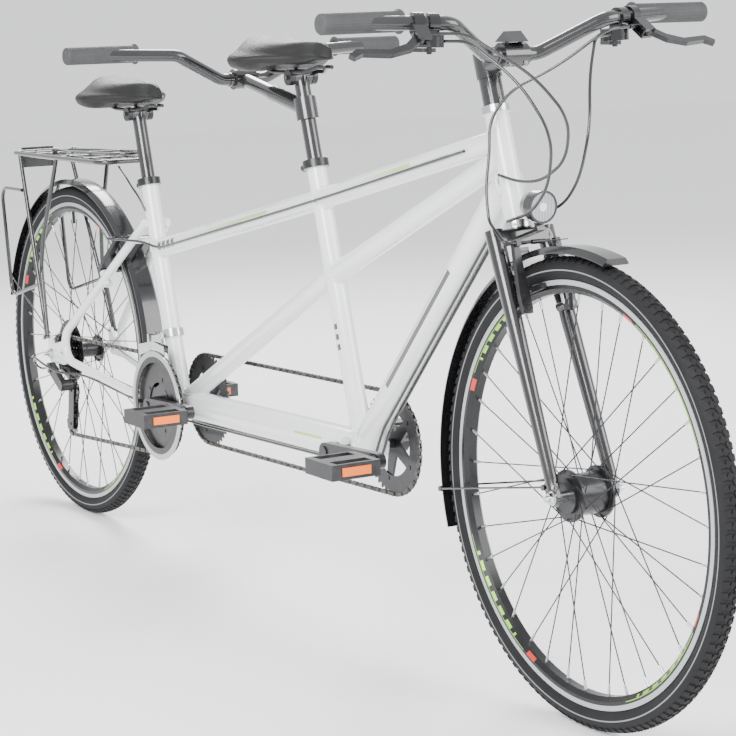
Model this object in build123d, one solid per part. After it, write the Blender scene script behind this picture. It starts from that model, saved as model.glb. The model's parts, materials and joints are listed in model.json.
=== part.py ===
from build123d import *
import os
from math import acos, asin, atan2, cos, degrees, hypot, pi, radians, sin, tan

# Tandem bicycle.  +X forward, +Y to the rider's left, +Z up, millimetres.
# The origin is on the ground, midway between the two axles.

# ---- frame sizes -------------------------------------------------------------------
wheelbase = 1818.0           # rear axle to front axle
wheel_radius = 351.0         # outside of the tyre
head_angle = 73.0            # steering axis from the ground, degrees
fork_offset = 40.0           # front axle ahead of the steering axis
captain_bb_ahead = 1182.0    # captain's crank axle ahead of the rear axle
captain_bb_height = 322.0
captain_seat_angle = 73.5
captain_seat_tube_length = 502.0
stoker_bb_ahead = 482.0
stoker_bb_height = 303.0
stoker_seat_angle = 74.0
stoker_seat_tube_length = 449.0
head_tube_low = 421.0        # along the steering axis, from the level of the axle
head_tube_length = 170.0
head_tube_r = 19.0
head_tube_bore_r = 16.95
top_tube_r = 18.0
diagonal_tube_r = 17.5
down_tube_r = 24.0
boom_tube_r = 28.0
main_tube_wall = 2.0
seat_tube_r = 17.45
bb_shell_r = 25.0
bb_shell_bore_r = 17.2
bb_shell_half = 34.0
top_tube_head = 550.0        # where each tube meets the steering axis
diagonal_tube_head = 522.0
down_tube_head = 483.0
top_tube_captain_height = 740.0
top_tube_stoker_height = 601.0
diagonal_captain_height = 611.0
chainstay_r = 9.0
stay_bend_ahead = 42.0       # outside of the bend that carries the dropout
stay_bend_rise = 4.0
dropout_spacing = 135.0
dropout_thick = 6.0
fork_spacing = 100.0
slip = 0.05                  # running and sliding clearance on a radius
seat_gap = 0.3               # clearance where two pieces only rest together

# ---- seats and bars ----------------------------------------------------------------
post_r = 13.6
captain_post_above = 153.0   # top of the post above the seat tube's top
stoker_post_above = 137.0
post_inside = 90.0
bar_r = 11.1
grip_r = 16.0
grip_length = 130.0
steerer_r = 14.3
stem_reach = 69.0
bar_along = 663.0            # bar centre, along the steering axis
saddle_length = 262.0
saddle_half_width = 95.0
saddle_thick = 52.0
saddle_skirt = 11.0          # how far the tail's skirt hangs below the base
skirt_wall = 14.0            # at the tail
skirt_inner = 0.68           # half width of the hollow inside it, to the saddle's
skirt_front = 50.0           # the skirt ends this far behind the clamp
saddle_above_clamp = 22.0
rail_r = 3.5
rail_half_gap = 22.0

# ---- wheels ------------------------------------------------------------------------
tyre_r = 19.5
tyre_wall = 4.5
rim_outer = 317.0
rim_inner = 297.0
rim_half = 13.0
rim_wall = 2.3
spoke_r = 1.0
nipple_r = 2.2
nipple_length = 14.0
spokes_per_wheel = 36
axle_r = 5.0
axle_end_r = 4.75           # outside the nuts
axle_neck_r = 4.4            # thread relief between the nut and the end
axle_neck = 0.3              # from the nut's face to the relief
nut_high = 8.0
cone_r = 8.0
front_axle_half = 70.0
rear_axle_half = 90.0
dynamo_shell_r = 31.0
dynamo_flange_r = 39.0
dynamo_flange_y = 27.0
rear_shell_r = 17.0
rear_flange_r = 29.0
rear_flange_left = 34.0
rear_flange_right = 22.0
flange_thick = 4.0

# ---- drivetrain --------------------------------------------------------------------
link = 12.7
chain_line = 51.0            # of the drive chain, to the right
timing_line = 56.0           # of the timing chain, to the left
timing_teeth = 44
ring_teeth = [48, 38, 28]
ring_step = 6.0
sprocket_teeth = [28, 24, 22, 20, 18, 16, 14]
sprocket_step = 4.75
driven_sprocket = 4
guard_r = 107.0
crank_length = 170.0
crank_angle = 4.0            # right arms, above the horizontal, at rest
crank_inner = 66.0
crank_thick = 14.0
spindle_r = 8.5
pedal_axle_r = 7.0
pedal_inner = 96.0
pedal_width = 90.0
pedal_half_length = 44.0
pedal_half_height = 13.0
pulley_teeth = 11
upper_pulley_at = (58.0, 276.0)
lower_pulley_at = (48.0, 203.0)
hanger_at = (12.0, 322.0)
cage_pivot_at = (66.0, 290.0)
tooth_up = 2.5
tooth_down = 3.9
plate_half = 4.0
chain_inner = 1.4
chain_outer = 3.2

# ---- brakes, guards, rack ----------------------------------------------------------
brake_pivot_radius = 283.0
brake_pivot_half = 40.0
brake_stand_off = 22.0
brake_arm_length = 102.0
pad_gap = 2.2
guard_radius = 365.0
guard_half = 23.0
guard_wall = 1.6
rack_height = 768.0
rack_half = 60.0
rack_tube_r = 5.0
rack_rear = -205.0
rack_front = 262.0

BOTTOM = (Align.CENTER, Align.CENTER, Align.MIN)
RIGHT, LEFT = -1, 1
axle_z = wheel_radius
rear_axle_x = -wheelbase / 2
front_axle_x = wheelbase / 2
head_cos = cos(radians(head_angle))
head_sin = sin(radians(head_angle))
steer_up = Vector(-head_cos, 0, head_sin)
steer_ahead = Vector(head_sin, 0, head_cos)
steer_foot = Vector(front_axle_x, 0, axle_z) - steer_ahead * fork_offset


def at(ahead, side, height):
    """A point measured from the rear axle's cross plane."""
    return Vector(ahead - wheelbase / 2, side, height)


def on_steer(along, ahead=0.0, side=0.0):
    """A point measured along and ahead of the steering axis."""
    return steer_foot + steer_up * along + steer_ahead * ahead + Vector(0, side, 0)


def rod(start, end, r, r_end=None):
    """A round bar, or a cone when it has a second radius, between two points."""
    start, end = Vector(start), Vector(end)
    place = Plane(origin=start, z_dir=end - start)
    length = (end - start).length
    if r_end is None:
        return place * Cylinder(r, length, align=BOTTOM)
    return place * Cone(r, r_end, length, align=BOTTOM)


def pipe(start, end, r, bore):
    return rod(start, end, r) - rod(start, end, bore)


def across(centre, y0, y1, r, bore=0.0):
    """A disc or ring about a crosswise line through centre (x, z)."""
    low, high = min(y0, y1), max(y0, y1)
    start, end = (centre[0], low, centre[1]), (centre[0], high, centre[1])
    if bore > 0:
        return pipe(start, end, r, bore)
    return rod(start, end, r)


def slab(face, y0, y1):
    """Extrude a face drawn in (x, z) from y0 to y1."""
    low, high = min(y0, y1), max(y0, y1)
    place = Plane(origin=(0, high, 0), x_dir=(1, 0, 0), z_dir=(0, -1, 0))
    return place * extrude(face, amount=high - low)


def outline(points):
    return make_face(Polyline(*points, close=True))


def hull_face(circles):
    """The face wrapped tightly round two circles (x, z, r)."""
    (x1, z1, r1), (x2, z2, r2) = circles
    gap = hypot(x2 - x1, z2 - z1)
    along = atan2(z2 - z1, x2 - x1)
    turn = acos((r1 - r2) / gap)
    corners = []
    for x, z, r, sign in ((x1, z1, r1, 1), (x2, z2, r2, 1), (x2, z2, r2, -1), (x1, z1, r1, -1)):
        a = along + sign * turn
        corners.append((x + r * cos(a), z + r * sin(a)))
    body = outline(corners)
    return body + Pos(x1, z1) * Circle(r1) + Pos(x2, z2) * Circle(r2)


def bent(points, r, bend):
    """A round bar along straight runs joined by arcs."""
    path = FilletPolyline(*points, radius=bend)
    return sweep(Plane(origin=path @ 0, z_dir=path % 0) * Circle(r), path=path)


def cord(points, r):
    """A cable along straight runs whose arcs are as large as the runs allow."""
    pts = [Vector(p) for p in points]
    radii = []
    for i in range(1, len(pts) - 1):
        before, after = pts[i] - pts[i - 1], pts[i + 1] - pts[i]
        turn = radians(before.get_angle(after))
        radii.append(0.45 * min(before.length, after.length) / tan(turn / 2))
    print("cable radii", [round(v) for v in radii])
    path = FilletPolyline(*pts, radius=radii)
    return sweep(Plane(origin=path @ 0, z_dir=path % 0) * Circle(r), path=path)


def both(make):
    """The same piece on the right and on the left."""
    return [make(RIGHT), make(LEFT)]


def mirrored(piece):
    return mirror(piece, about=Plane.XZ)


def save(name, pieces):
    """Write one node; every solid in it is a piece of its own."""
    solids = []
    for piece in pieces if isinstance(pieces, (list, tuple)) else [pieces]:
        solids.extend(piece.solids())
    export_step(Compound(children=solids), "parts/" + name + ".step")
    print(name, len(solids))


os.makedirs("parts", exist_ok=True)

# ---- frame tubes -------------------------------------------------------------------
captain_bb = at(captain_bb_ahead, 0, captain_bb_height)
stoker_bb = at(stoker_bb_ahead, 0, stoker_bb_height)
captain_up = Vector(-cos(radians(captain_seat_angle)), 0, sin(radians(captain_seat_angle)))
stoker_up = Vector(-cos(radians(stoker_seat_angle)), 0, sin(radians(stoker_seat_angle)))
captain_top = captain_bb + captain_up * captain_seat_tube_length
stoker_top = stoker_bb + stoker_up * stoker_seat_tube_length


def on_seat(bb, up, height):
    """The point of a seat tube's axis at a height above the ground."""
    return bb + up * ((height - bb.Z) / up.Z)


def shell_bar(bb):
    return rod(bb - Vector(0, bb_shell_half, 0), bb + Vector(0, bb_shell_half, 0), bb_shell_r)


head_low = on_steer(head_tube_low)
head_high = on_steer(head_tube_low + head_tube_length)
head_bar = rod(head_low, head_high, head_tube_r)
head_tube = head_bar - rod(head_low, head_high, head_tube_bore_r)
captain_seat_bar = rod(captain_bb, captain_top, seat_tube_r)
stoker_seat_bar = rod(stoker_bb, stoker_top, seat_tube_r)
captain_shell_bar = shell_bar(captain_bb)
stoker_shell_bar = shell_bar(stoker_bb)


def frame_tube(start, end, r, cutters):
    """A thin tube coped to everything that it is welded to."""
    tube = pipe(start, end, r, r - main_tube_wall)
    for cutter in cutters:
        tube = tube - cutter
    return max(tube.solids(), key=lambda s: s.volume)


top_at_captain = on_seat(captain_bb, captain_up, top_tube_captain_height)
top_at_stoker = on_seat(stoker_bb, stoker_up, top_tube_stoker_height)
diagonal_at_captain = on_seat(captain_bb, captain_up, diagonal_captain_height)
down_start, down_end = captain_bb, on_steer(down_tube_head)
boom_bar = rod(stoker_bb, captain_bb, boom_tube_r)
down_bar = rod(down_start, down_end, down_tube_r)
top_front_bar = rod(top_at_captain, on_steer(top_tube_head), top_tube_r)
down_tube = frame_tube(down_start, down_end, down_tube_r,
                       [head_bar, captain_shell_bar, captain_seat_bar])
boom_tube = frame_tube(stoker_bb, captain_bb, boom_tube_r,
                       [captain_shell_bar, stoker_shell_bar, captain_seat_bar,
                        stoker_seat_bar, down_bar])
top_front = frame_tube(top_at_captain, on_steer(top_tube_head), top_tube_r,
                       [head_bar, captain_seat_bar])
top_rear = frame_tube(top_at_stoker, top_at_captain, top_tube_r,
                      [captain_seat_bar, stoker_seat_bar])
diagonal_front = frame_tube(diagonal_at_captain, on_steer(diagonal_tube_head),
                            diagonal_tube_r,
                            [head_bar, captain_seat_bar, top_front_bar, down_bar])
diagonal_rear = frame_tube(stoker_bb, diagonal_at_captain, diagonal_tube_r,
                           [stoker_shell_bar, stoker_seat_bar, captain_seat_bar, boom_bar])
save("frame_tubes", [head_tube, down_tube, boom_tube, top_front, top_rear,
                     diagonal_front, diagonal_rear])

# ---- seat tubes and crank shells ---------------------------------------------------
post_bore_r = post_r + slip


def seat_tube(bb, top, up, shell):
    floor = top - up * (post_inside + 40)
    tube = pipe(bb, top, seat_tube_r, seat_tube_r - main_tube_wall) - shell
    sleeve = pipe(floor, top, seat_tube_r - main_tube_wall / 2, post_bore_r)
    return tube + sleeve


def crank_shell(bb, shell):
    return shell - across((bb.X, bb.Z), -bb_shell_half, bb_shell_half, bb_shell_bore_r)


captain_seat_tube = seat_tube(captain_bb, captain_top, captain_up, captain_shell_bar)
stoker_seat_tube = seat_tube(stoker_bb, stoker_top, stoker_up, stoker_shell_bar)
save("seat_tubes", [captain_seat_tube, stoker_seat_tube,
                    crank_shell(captain_bb, captain_shell_bar),
                    crank_shell(stoker_bb, stoker_shell_bar)])

# ---- seat clamps: a split collar, its bolt and a grooved barrel nut ----------------
collar_height = 14.0
collar_r = seat_tube_r + 5.5
captain_collar_face = captain_top + captain_up * 3.0
stoker_collar_face = stoker_top + stoker_up * 3.0


def seat_clamp(top, up):
    back = Vector(up.Z, 0, -up.X) * -1
    low, high = top - up * (collar_height - 3), top + up * 3
    ring = rod(low, high, collar_r)
    mid = (low + high) * 0.5
    ears = Plane(origin=mid + back * (collar_r + 3), x_dir=back, z_dir=up)
    ring = ring + ears * Box(14, 18, collar_height - 2)
    ring = ring - rod(low, top, seat_tube_r + slip)
    ring = ring - rod(low, high, post_r + 4 * slip)
    ring = ring - ears * Box(24, 2.4, collar_height + 4)
    bolt_at = mid + back * (collar_r + 4)
    side = Vector(0, 1, 0)
    ring = ring - rod(bolt_at - side * 12, bolt_at + side * 12, 2.7)
    bolt = rod(bolt_at - side * 9.1, bolt_at + side * 15, 2.5)
    bolt = bolt + rod(bolt_at - side * 14, bolt_at - side * 9.1, 4.5)
    bolt = bolt + rod(bolt_at + side * 9.1, bolt_at + side * 14, 4.5)
    return [ring, bolt]


save("seat_clamps", seat_clamp(captain_top, captain_up) + seat_clamp(stoker_top, stoker_up))

# ---- bearing cups ------------------------------------------------------------------
cup_height = 11.0
cup_r = 21.5
cup_spigot = 9.0
bearing_bore_r = steerer_r + slip


def head_cup(face, away):
    cup = rod(face, face + away * cup_height, cup_r)
    cup = cup + rod(face - away * cup_spigot, face, head_tube_bore_r - slip)
    return cup - rod(face - away * 20, face + away * 20, bearing_bore_r)


bb_cup_flange = 3.0
bb_cup_depth = 15.0


def bb_cups(bb):
    cups = []
    for side in (RIGHT, LEFT):
        face = side * bb_shell_half
        cup = across((bb.X, bb.Z), face, face + side * bb_cup_flange, bb_shell_r - 4)
        cup = cup + across((bb.X, bb.Z), face, face - side * bb_cup_depth,
                           bb_shell_bore_r - slip)
        cups.append(cup - across((bb.X, bb.Z), face - side * 30, face + side * 30,
                                 spindle_r + slip))
    return cups


save("bearing_cups", [head_cup(head_low, steer_up * -1), head_cup(head_high, steer_up)]
     + bb_cups(captain_bb) + bb_cups(stoker_bb))

# ---- rear triangle: one bent stay each side, dropouts, bridges, brake bosses -------
dropout_in = dropout_spacing / 2
dropout_out = dropout_in + dropout_thick
stay_bend_side = 71.5
stay_bend_r = 40.0
stay_low_ahead = 318.0
stay_low_height = 308.0
stay_low_side = 42.0
stay_top_height = 652.0
stay_top_side = 23.0
half_between = 25.4          # half the angle between the two legs of the bend
reach = stay_bend_r / sin(radians(half_between)) - stay_bend_r
bend_corner = (stay_bend_ahead + chainstay_r - reach, axle_z + stay_bend_rise - 2)
rear_pivot_angle = 42.0
eyelet_at = (-10.0, 33.0)


def stay(side):
    path = [at(stoker_bb_ahead - 10, side * 16, stoker_bb_height + 1),
            at(400, side * 32.5, 305), at(stay_low_ahead, side * stay_low_side, stay_low_height),
            at(bend_corner[0], side * stay_bend_side, bend_corner[1]),
            on_seat(stoker_bb, stoker_up, stay_top_height) + Vector(2, side * stay_top_side, 0)]
    line = FilletPolyline(*path, radius=[120, 120, stay_bend_r])
    tube = sweep(Plane(origin=line @ 0, z_dir=line % 0) * Circle(chainstay_r), path=line)
    tube = tube - stoker_shell_bar - stoker_seat_bar - boom_bar
    return max(tube.solids(), key=lambda s: s.volume)


def dropout(side):
    plate = hull_face([(rear_axle_x, axle_z, 17), (rear_axle_x + 56, axle_z + 22, 9)])
    plate = plate + hull_face([(rear_axle_x, axle_z, 17), (rear_axle_x + 62, axle_z - 9, 9)])
    plate = plate + hull_face([(rear_axle_x, axle_z, 15),
                               (rear_axle_x + eyelet_at[0], axle_z + eyelet_at[1], 8)])
    if side == RIGHT:
        plate = plate + hull_face([(rear_axle_x, axle_z, 15),
                                   (rear_axle_x + hanger_at[0], hanger_at[1], 10)])
    body = slab(plate, side * dropout_in, side * dropout_out)
    body = body - across((rear_axle_x, axle_z), side * 60, side * 90, axle_r + slip)
    body = body - across((rear_axle_x + eyelet_at[0], axle_z + eyelet_at[1]),
                         side * 60, side * 90, 2.5)
    if side == RIGHT:
        body = body - across((rear_axle_x + hanger_at[0], hanger_at[1]),
                             side * 60, side * 90, 5.0)
    return body


def polar(centre_x, radius, angle, side=0.0, out=0.0):
    """A point about a wheel axle; out is square to the radius, towards the back."""
    a = radians(angle)
    return Vector(centre_x + radius * cos(a) - out * sin(a), side,
                  axle_z + radius * sin(a) + out * cos(a))


rear_pivot = polar(rear_axle_x, brake_pivot_radius, rear_pivot_angle)
rear_out = Vector(-sin(radians(rear_pivot_angle)), 0, cos(radians(rear_pivot_angle)))
front_pivot_angle = 108.2
front_pivot = polar(front_axle_x, brake_pivot_radius, front_pivot_angle)
front_out = Vector(sin(radians(front_pivot_angle)), 0, -cos(radians(front_pivot_angle)))
boss_pin_r = 4.0
boss_r = 8.0
boss_pin_length = 13.5


def brake_boss(pivot, out, side, depth):
    """A boss that stands on a tube, with the pin that the brake arm turns on."""
    face = pivot + Vector(0, side * brake_pivot_half, 0)
    boss = rod(face - out * depth, face, boss_r)
    return boss + rod(face, face + out * boss_pin_length, boss_pin_r)


def rear_side(side):
    body = stay(side) + dropout(side)
    boss = brake_boss(rear_pivot, rear_out, side, 34)
    return body + (boss - rod(rear_pivot - rear_out * 80, rear_pivot, 22))


stays = both(rear_side)
bridge_at = (345.0, 614.0)
seat_bridge = rod(at(bridge_at[0], -30, bridge_at[1]), at(bridge_at[0], 30, bridge_at[1]), 6.5)
chain_bridge = rod(at(374, -38, 306), at(374, 38, 306), 6.5)
for one_stay in stays:
    seat_bridge = seat_bridge - one_stay
    chain_bridge = chain_bridge - one_stay
seat_bridge = max(seat_bridge.solids(), key=lambda s: s.volume)
chain_bridge = max(chain_bridge.solids(), key=lambda s: s.volume)
save("rear_triangle", stays + [seat_bridge, chain_bridge])

# ---- mudguards ---------------------------------------------------------------------
guard_lip = 9.0
guard_shoulder = 7.0


def guard_band(centre_x, start, stop):
    """A rolled guard about a wheel axle, from one angle to another."""
    rim, low = guard_radius, guard_radius - guard_lip
    w, t, s = guard_half, guard_wall, guard_shoulder
    half = [(w, low), (w, low + 2), (w - s, rim + t)]
    inner = [(w - s - 0.6, rim), (w - t, low + 1.2), (w - t, low)]
    points = half + [(-y, r) for y, r in reversed(half)]
    points = points + [(-y, r) for y, r in inner] + list(reversed(inner))
    face = Plane.YZ * outline(points)
    band = revolve(face, axis=Axis.Y, revolution_arc=stop - start)
    return Pos(centre_x, 0, axle_z) * Rot(0, 90 - start, 0) * Rot(0, start - stop, 0) * band


def wheel_stay(centre_x, angle, side, foot, foot_side):
    """A wire from an eyelet to the edge of the guard, with a clip at its end."""
    edge = polar(centre_x, guard_radius - 6, angle, side * (guard_half + 2.2))
    wire = rod(Vector(centre_x + foot[0], side * foot_side, axle_z + foot[1]), edge, 1.6)
    return wire + rod(edge - Vector(0, side * 1.9, 0), edge + Vector(0, side * 2, 0), 4.5)


rear_guard_start, rear_guard_stop = -8.0, 166.0
front_guard_start, front_guard_stop = 76.0, 198.0
rear_stay_side = dropout_in - seat_gap - 1.6
front_stay_side = fork_spacing / 2 + 6.0 + seat_gap + 2.0
front_eyelet_at = (-16.0, 14.0)


def eyelet_screw(centre_x, foot, inner, outer):
    """The screw that holds a stay or a strut in its eyelet."""
    place = (centre_x + foot[0], axle_z + foot[1])
    screw = across(place, inner, outer, 2.4)
    step = 3.0 if outer > 0 else -3.0
    return screw + across(place, outer, outer + step, 4.5)


rear_guard = guard_band(rear_axle_x, rear_guard_start, rear_guard_stop)
front_guard = guard_band(front_axle_x, front_guard_start, front_guard_stop)
rear_guard_stays = [wheel_stay(rear_axle_x, 158, side, eyelet_at, rear_stay_side)
                    for side in (RIGHT, LEFT)]
front_guard_stays = [wheel_stay(front_axle_x, 188, side, front_eyelet_at, front_stay_side)
                     for side in (RIGHT, LEFT)]
bridge_angle = degrees(atan2(bridge_at[1] - axle_z, bridge_at[0]))
tab_top = hypot(bridge_at[1] - axle_z, bridge_at[0]) - 6.8
rear_tab = Pos(rear_axle_x, 0, axle_z) * Rot(0, -bridge_angle, 0)
rear_tab = rear_tab * Pos((guard_radius + guard_wall + tab_top) / 2 + 0.2, 0, 0)
rear_tab = rear_tab * Box(tab_top - guard_radius - guard_wall - 0.3, 16, 9)
save("rear_mudguard", [rear_guard, rear_tab] + rear_guard_stays)

# ---- luggage rack ------------------------------------------------------------------
deck_z = rack_height
strut_foot = at(eyelet_at[0], 0, axle_z + eyelet_at[1])
strut_side = dropout_out + seat_gap + 4.0


def rack_side(side):
    foot = Vector(strut_foot.X, side * strut_side, strut_foot.Z - 2)
    lean = rod(foot, at(-168, side * (rack_half - 1), deck_z), 4.5)
    bowed = bent([foot + Vector(2, 0, 6), at(-44, side * 71, 530), at(-34, side * 67, 600),
                  at(34, side * (rack_half - 1), deck_z)], 4.5, 60)
    hoop_side = side * 68
    loop = bent([at(-141, hoop_side, 690), at(-259, hoop_side, 690),
                 at(-222, hoop_side, 452), at(-52, side * 72, 494)], 4.0, 26)
    front = rod(at(rack_front - 30, side * (rack_half - 12), deck_z - 4),
                at(338, side * (stay_top_side + 14), 611), 3.5)
    return lean + bowed + loop + front


deck_frame = bent([at(rack_front - 40, rack_half, deck_z), at(rack_rear, rack_half, deck_z),
                   at(rack_rear, -rack_half, deck_z), at(rack_front - 40, -rack_half, deck_z)],
                  rack_tube_r, 22)
deck_nose = bent([at(rack_front - 40, rack_half, deck_z), at(rack_front, rack_half, deck_z),
                  at(rack_front, -rack_half, deck_z), at(rack_front - 40, -rack_half, deck_z)],
                 rack_tube_r, 30)
rack = deck_frame + deck_nose
for bar_ahead in (-168, -100, 34, 130, 222):
    rack = rack + rod(at(bar_ahead, -rack_half, deck_z), at(bar_ahead, rack_half, deck_z), 3.5)
for bar_side in (-22, 22):
    rack = rack + rod(at(rack_rear, bar_side, deck_z), at(rack_front, bar_side, deck_z), 3.5)
tail_plate = Pos(at(rack_rear - 5.5, 0, deck_z - 12)) * Box(3, 74, 44)
rack = rack + tail_plate
for side in (RIGHT, LEFT):
    rack = rack + rack_side(side)
for one_stay in stays:
    rack = rack - one_stay
clip_pivot = at(-60, 0, deck_z + 9.5)
clip_tube_r = 3.0
ear_r = 5.5
for side in (RIGHT, LEFT):
    ear = rod(clip_pivot + Vector(0, side * 18.5, 0), clip_pivot + Vector(0, side * 26, 0), ear_r)
    ear = ear + Pos(clip_pivot + Vector(0, side * 22, -6)) * Box(8, 8, 8)
    rack = rack + ear
rack = rack - rod(clip_pivot - Vector(0, 30, 0), clip_pivot + Vector(0, 30, 0),
                  clip_tube_r + slip)
rack_screws = [eyelet_screw(rear_axle_x, eyelet_at, side * (dropout_in + 1),
                            side * (strut_side + 5.2)) for side in (RIGHT, LEFT)]
for screw in rack_screws:
    rack = rack - screw
rack_main = max(rack.solids(), key=lambda s: s.volume)
lamp_body = Pos(at(rack_rear - 13.4, 0, deck_z - 12)) * Box(12, 66, 30)
save("luggage_rack", [rack_main] + rack_screws)
save("rear_reflector", [fillet(lamp_body.edges().filter_by(Axis.X), 8)])

clip_span = 13.0
clip_nose = rack_front + 42
clip_path = [clip_pivot + Vector(0, -28, 0), clip_pivot + Vector(0, 28, 0)]
clip_arm = bent([clip_pivot + Vector(0, clip_span, 0), at(60, 34, deck_z + 12),
                 at(clip_nose, 44, deck_z + 18), at(clip_nose, -44, deck_z + 18),
                 at(60, -34, deck_z + 12), clip_pivot + Vector(0, -clip_span, 0)],
                clip_tube_r, 36)
clip_bar = rod(clip_path[0], clip_path[1], clip_tube_r)
clip = clip_arm + clip_bar
clip = clip + rod(at(150, -36, deck_z + 14.9), at(150, 36, deck_z + 14.9), 2.5)
save("rack_clip", [clip])

# ---- chains ------------------------------------------------------------------------


def pitch_r(teeth):
    return link / 2 / sin(pi / teeth)


def belt(circles, out):
    """The outline of a loop round circles (x, z, r), moved out by a distance.

    A negative radius is a circle that the loop passes on its outer side.
    """
    runs = []
    for i, (x1, z1, r1) in enumerate(circles):
        x2, z2, r2 = circles[(i + 1) % len(circles)]
        r1, r2 = r1 + out, r2 + out
        heading = atan2(z2 - z1, x2 - x1) - asin((r2 - r1) / hypot(x2 - x1, z2 - z1))
        nx, nz = -sin(heading), cos(heading)
        runs.append(((x1 - r1 * nx, z1 - r1 * nz), (x2 - r2 * nx, z2 - r2 * nz)))
    edges = []
    for i, (begin, end) in enumerate(runs):
        edges.append(Line(begin, end))
        x, z, r = circles[(i + 1) % len(circles)]
        r = r + out
        leave = runs[(i + 1) % len(runs)][0]
        a0 = atan2(end[1] - z, end[0] - x)
        a1 = atan2(leave[1] - z, leave[0] - x)
        if r > 0 and a1 < a0:
            a1 = a1 + 2 * pi
        if r < 0 and a1 > a0:
            a1 = a1 - 2 * pi
        middle = (a0 + a1) / 2
        edges.append(ThreePointArc(end, (x + abs(r) * cos(middle), z + abs(r) * sin(middle)),
                                   leave))
    return make_face(edges), runs


bar_half = 2.0


def chain(circles, y):
    """Side plates all the way round, with a core along the free runs."""
    outer, _ = belt(circles, plate_half)
    inner, _ = belt(circles, -plate_half)
    _, runs = belt(circles, 0)
    band = outer - inner
    loop = slab(band, y - chain_outer, y - chain_inner)
    loop = loop + slab(band, y + chain_inner, y + chain_outer)
    for i, (begin, end) in enumerate(runs):
        length = hypot(end[0] - begin[0], end[1] - begin[1])
        ux, uz = (end[0] - begin[0]) / length, (end[1] - begin[1]) / length
        ends = []
        for r in (abs(circles[i][2]), abs(circles[(i + 1) % len(circles)][2])):
            tip = r + tooth_up + seat_gap
            ends.append((tip ** 2 - (r - bar_half) ** 2) ** 0.5 + 1)
        a, b = ends[0], length - ends[1]
        corners = []
        for t, h in ((a, -bar_half), (b, -bar_half), (b, bar_half), (a, bar_half)):
            corners.append((begin[0] + ux * t - uz * h, begin[1] + uz * t + ux * h))
        loop = loop + slab(outline(corners), y - chain_inner - 0.1, y + chain_inner + 0.1)
    return loop


ring_r = pitch_r(ring_teeth[0])
sprocket_r = pitch_r(sprocket_teeth[driven_sprocket])
pulley_r = pitch_r(pulley_teeth)
timing_r = pitch_r(timing_teeth)
upper_pulley = (rear_axle_x + upper_pulley_at[0], upper_pulley_at[1])
lower_pulley = (rear_axle_x + lower_pulley_at[0], lower_pulley_at[1])
drive_loop = [(stoker_bb.X, stoker_bb.Z, ring_r), (rear_axle_x, axle_z, sprocket_r),
              (upper_pulley[0], upper_pulley[1], -pulley_r),
              (lower_pulley[0], lower_pulley[1], pulley_r)]
timing_loop = [(captain_bb.X, captain_bb.Z, timing_r), (stoker_bb.X, stoker_bb.Z, timing_r)]
save("drive_chain", chain(drive_loop, -chain_line))
save("timing_chain", chain(timing_loop, timing_line))


def toothed(centre, teeth, y, thick, bore):
    """A toothed wheel with its plane at y."""
    r = pitch_r(teeth)
    points = []
    for i in range(teeth):
        for part, height in ((-0.36, -tooth_down), (-0.13, tooth_up),
                             (0.13, tooth_up), (0.36, -tooth_down)):
            a = 2 * pi * (i + part) / teeth
            points.append((centre[0] + (r + height) * cos(a), centre[1] + (r + height) * sin(a)))
    return slab(outline(points), y - thick / 2, y + thick / 2) - across(centre, y - 9, y + 9, bore)


# ---- cranks ------------------------------------------------------------------------
arm_hub_r = 17.0
arm_end_r = 13.0
spider_r = 52.0
timing_bolt_r = 65.0
ring_thick = 2.0
crank_outer = crank_inner + crank_thick
arm_a = radians(crank_angle)


def crank_end(bb, side):
    """The pedal axis of one arm, as (x, z)."""
    sign = 1 if side == RIGHT else -1
    return (bb.X + sign * crank_length * cos(arm_a), bb.Z + sign * crank_length * sin(arm_a))


def crank_arm(bb, side):
    centre, end = (bb.X, bb.Z), crank_end(bb, side)
    face = hull_face([(centre[0], centre[1], arm_hub_r), (end[0], end[1], arm_end_r)])
    return slab(face, side * crank_inner, side * crank_outer)


def bore_arm(arm, bb, side):
    arm = arm - across((bb.X, bb.Z), -90, 90, spindle_r + slip)
    return arm - across(crank_end(bb, side), side * 50, side * 100, pedal_axle_r + slip)


def pedal_axle(bb, side):
    end = crank_end(bb, side)
    axle = across(end, side * (crank_inner - 1), side * (pedal_inner - 6), pedal_axle_r)
    axle = axle + across(end, side * crank_outer, side * (crank_outer + 4), pedal_axle_r + 3)
    return axle + across(end, side * (pedal_inner - 6), side * (pedal_inner + pedal_width - 8), 5.0)


def star(centre, reach_to, count, start, y0, y1, hub, tip):
    """Arms from a hub to a bolt circle."""
    body = across(centre, y0, y1, hub)
    for i in range(count):
        a = 2 * pi * i / count + start
        far = (centre[0] + reach_to * cos(a), centre[1] + reach_to * sin(a), tip)
        body = body + slab(hull_face([(centre[0], centre[1], hub * 0.7), far]), y0, y1)
    return body


def ring_bolts(centre, radius, start, y0, y1, r=4.0):
    bolts = []
    for i in range(5):
        a = 2 * pi * i / 5 + start
        bolts.append(across((centre[0] + radius * cos(a), centre[1] + radius * sin(a)), y0, y1, r))
    return bolts


def timing_side(bb):
    """Left arm with its spider, the timing ring and the ring's bolts."""
    centre = (bb.X, bb.Z)
    ring_face = timing_line + ring_thick / 2
    start = pi + arm_a
    arm = crank_arm(bb, LEFT) + across(centre, ring_face + 1, crank_inner, arm_hub_r + 1)
    arm = arm + star(centre, timing_bolt_r, 5, start, ring_face + seat_gap / 3, ring_face + 5,
                     arm_hub_r + 3, 8)
    arm = bore_arm(arm, bb, LEFT)
    ring = toothed(centre, timing_teeth, timing_line, ring_thick, timing_bolt_r - 8)
    bolts = ring_bolts(centre, timing_bolt_r, start, timing_line - 2, ring_face + 6)
    for bolt in ring_bolts(centre, timing_bolt_r, start, 0, 90, 4.0 + slip):
        arm = arm - bolt
        ring = ring - bolt
    return [arm, ring] + bolts


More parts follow.
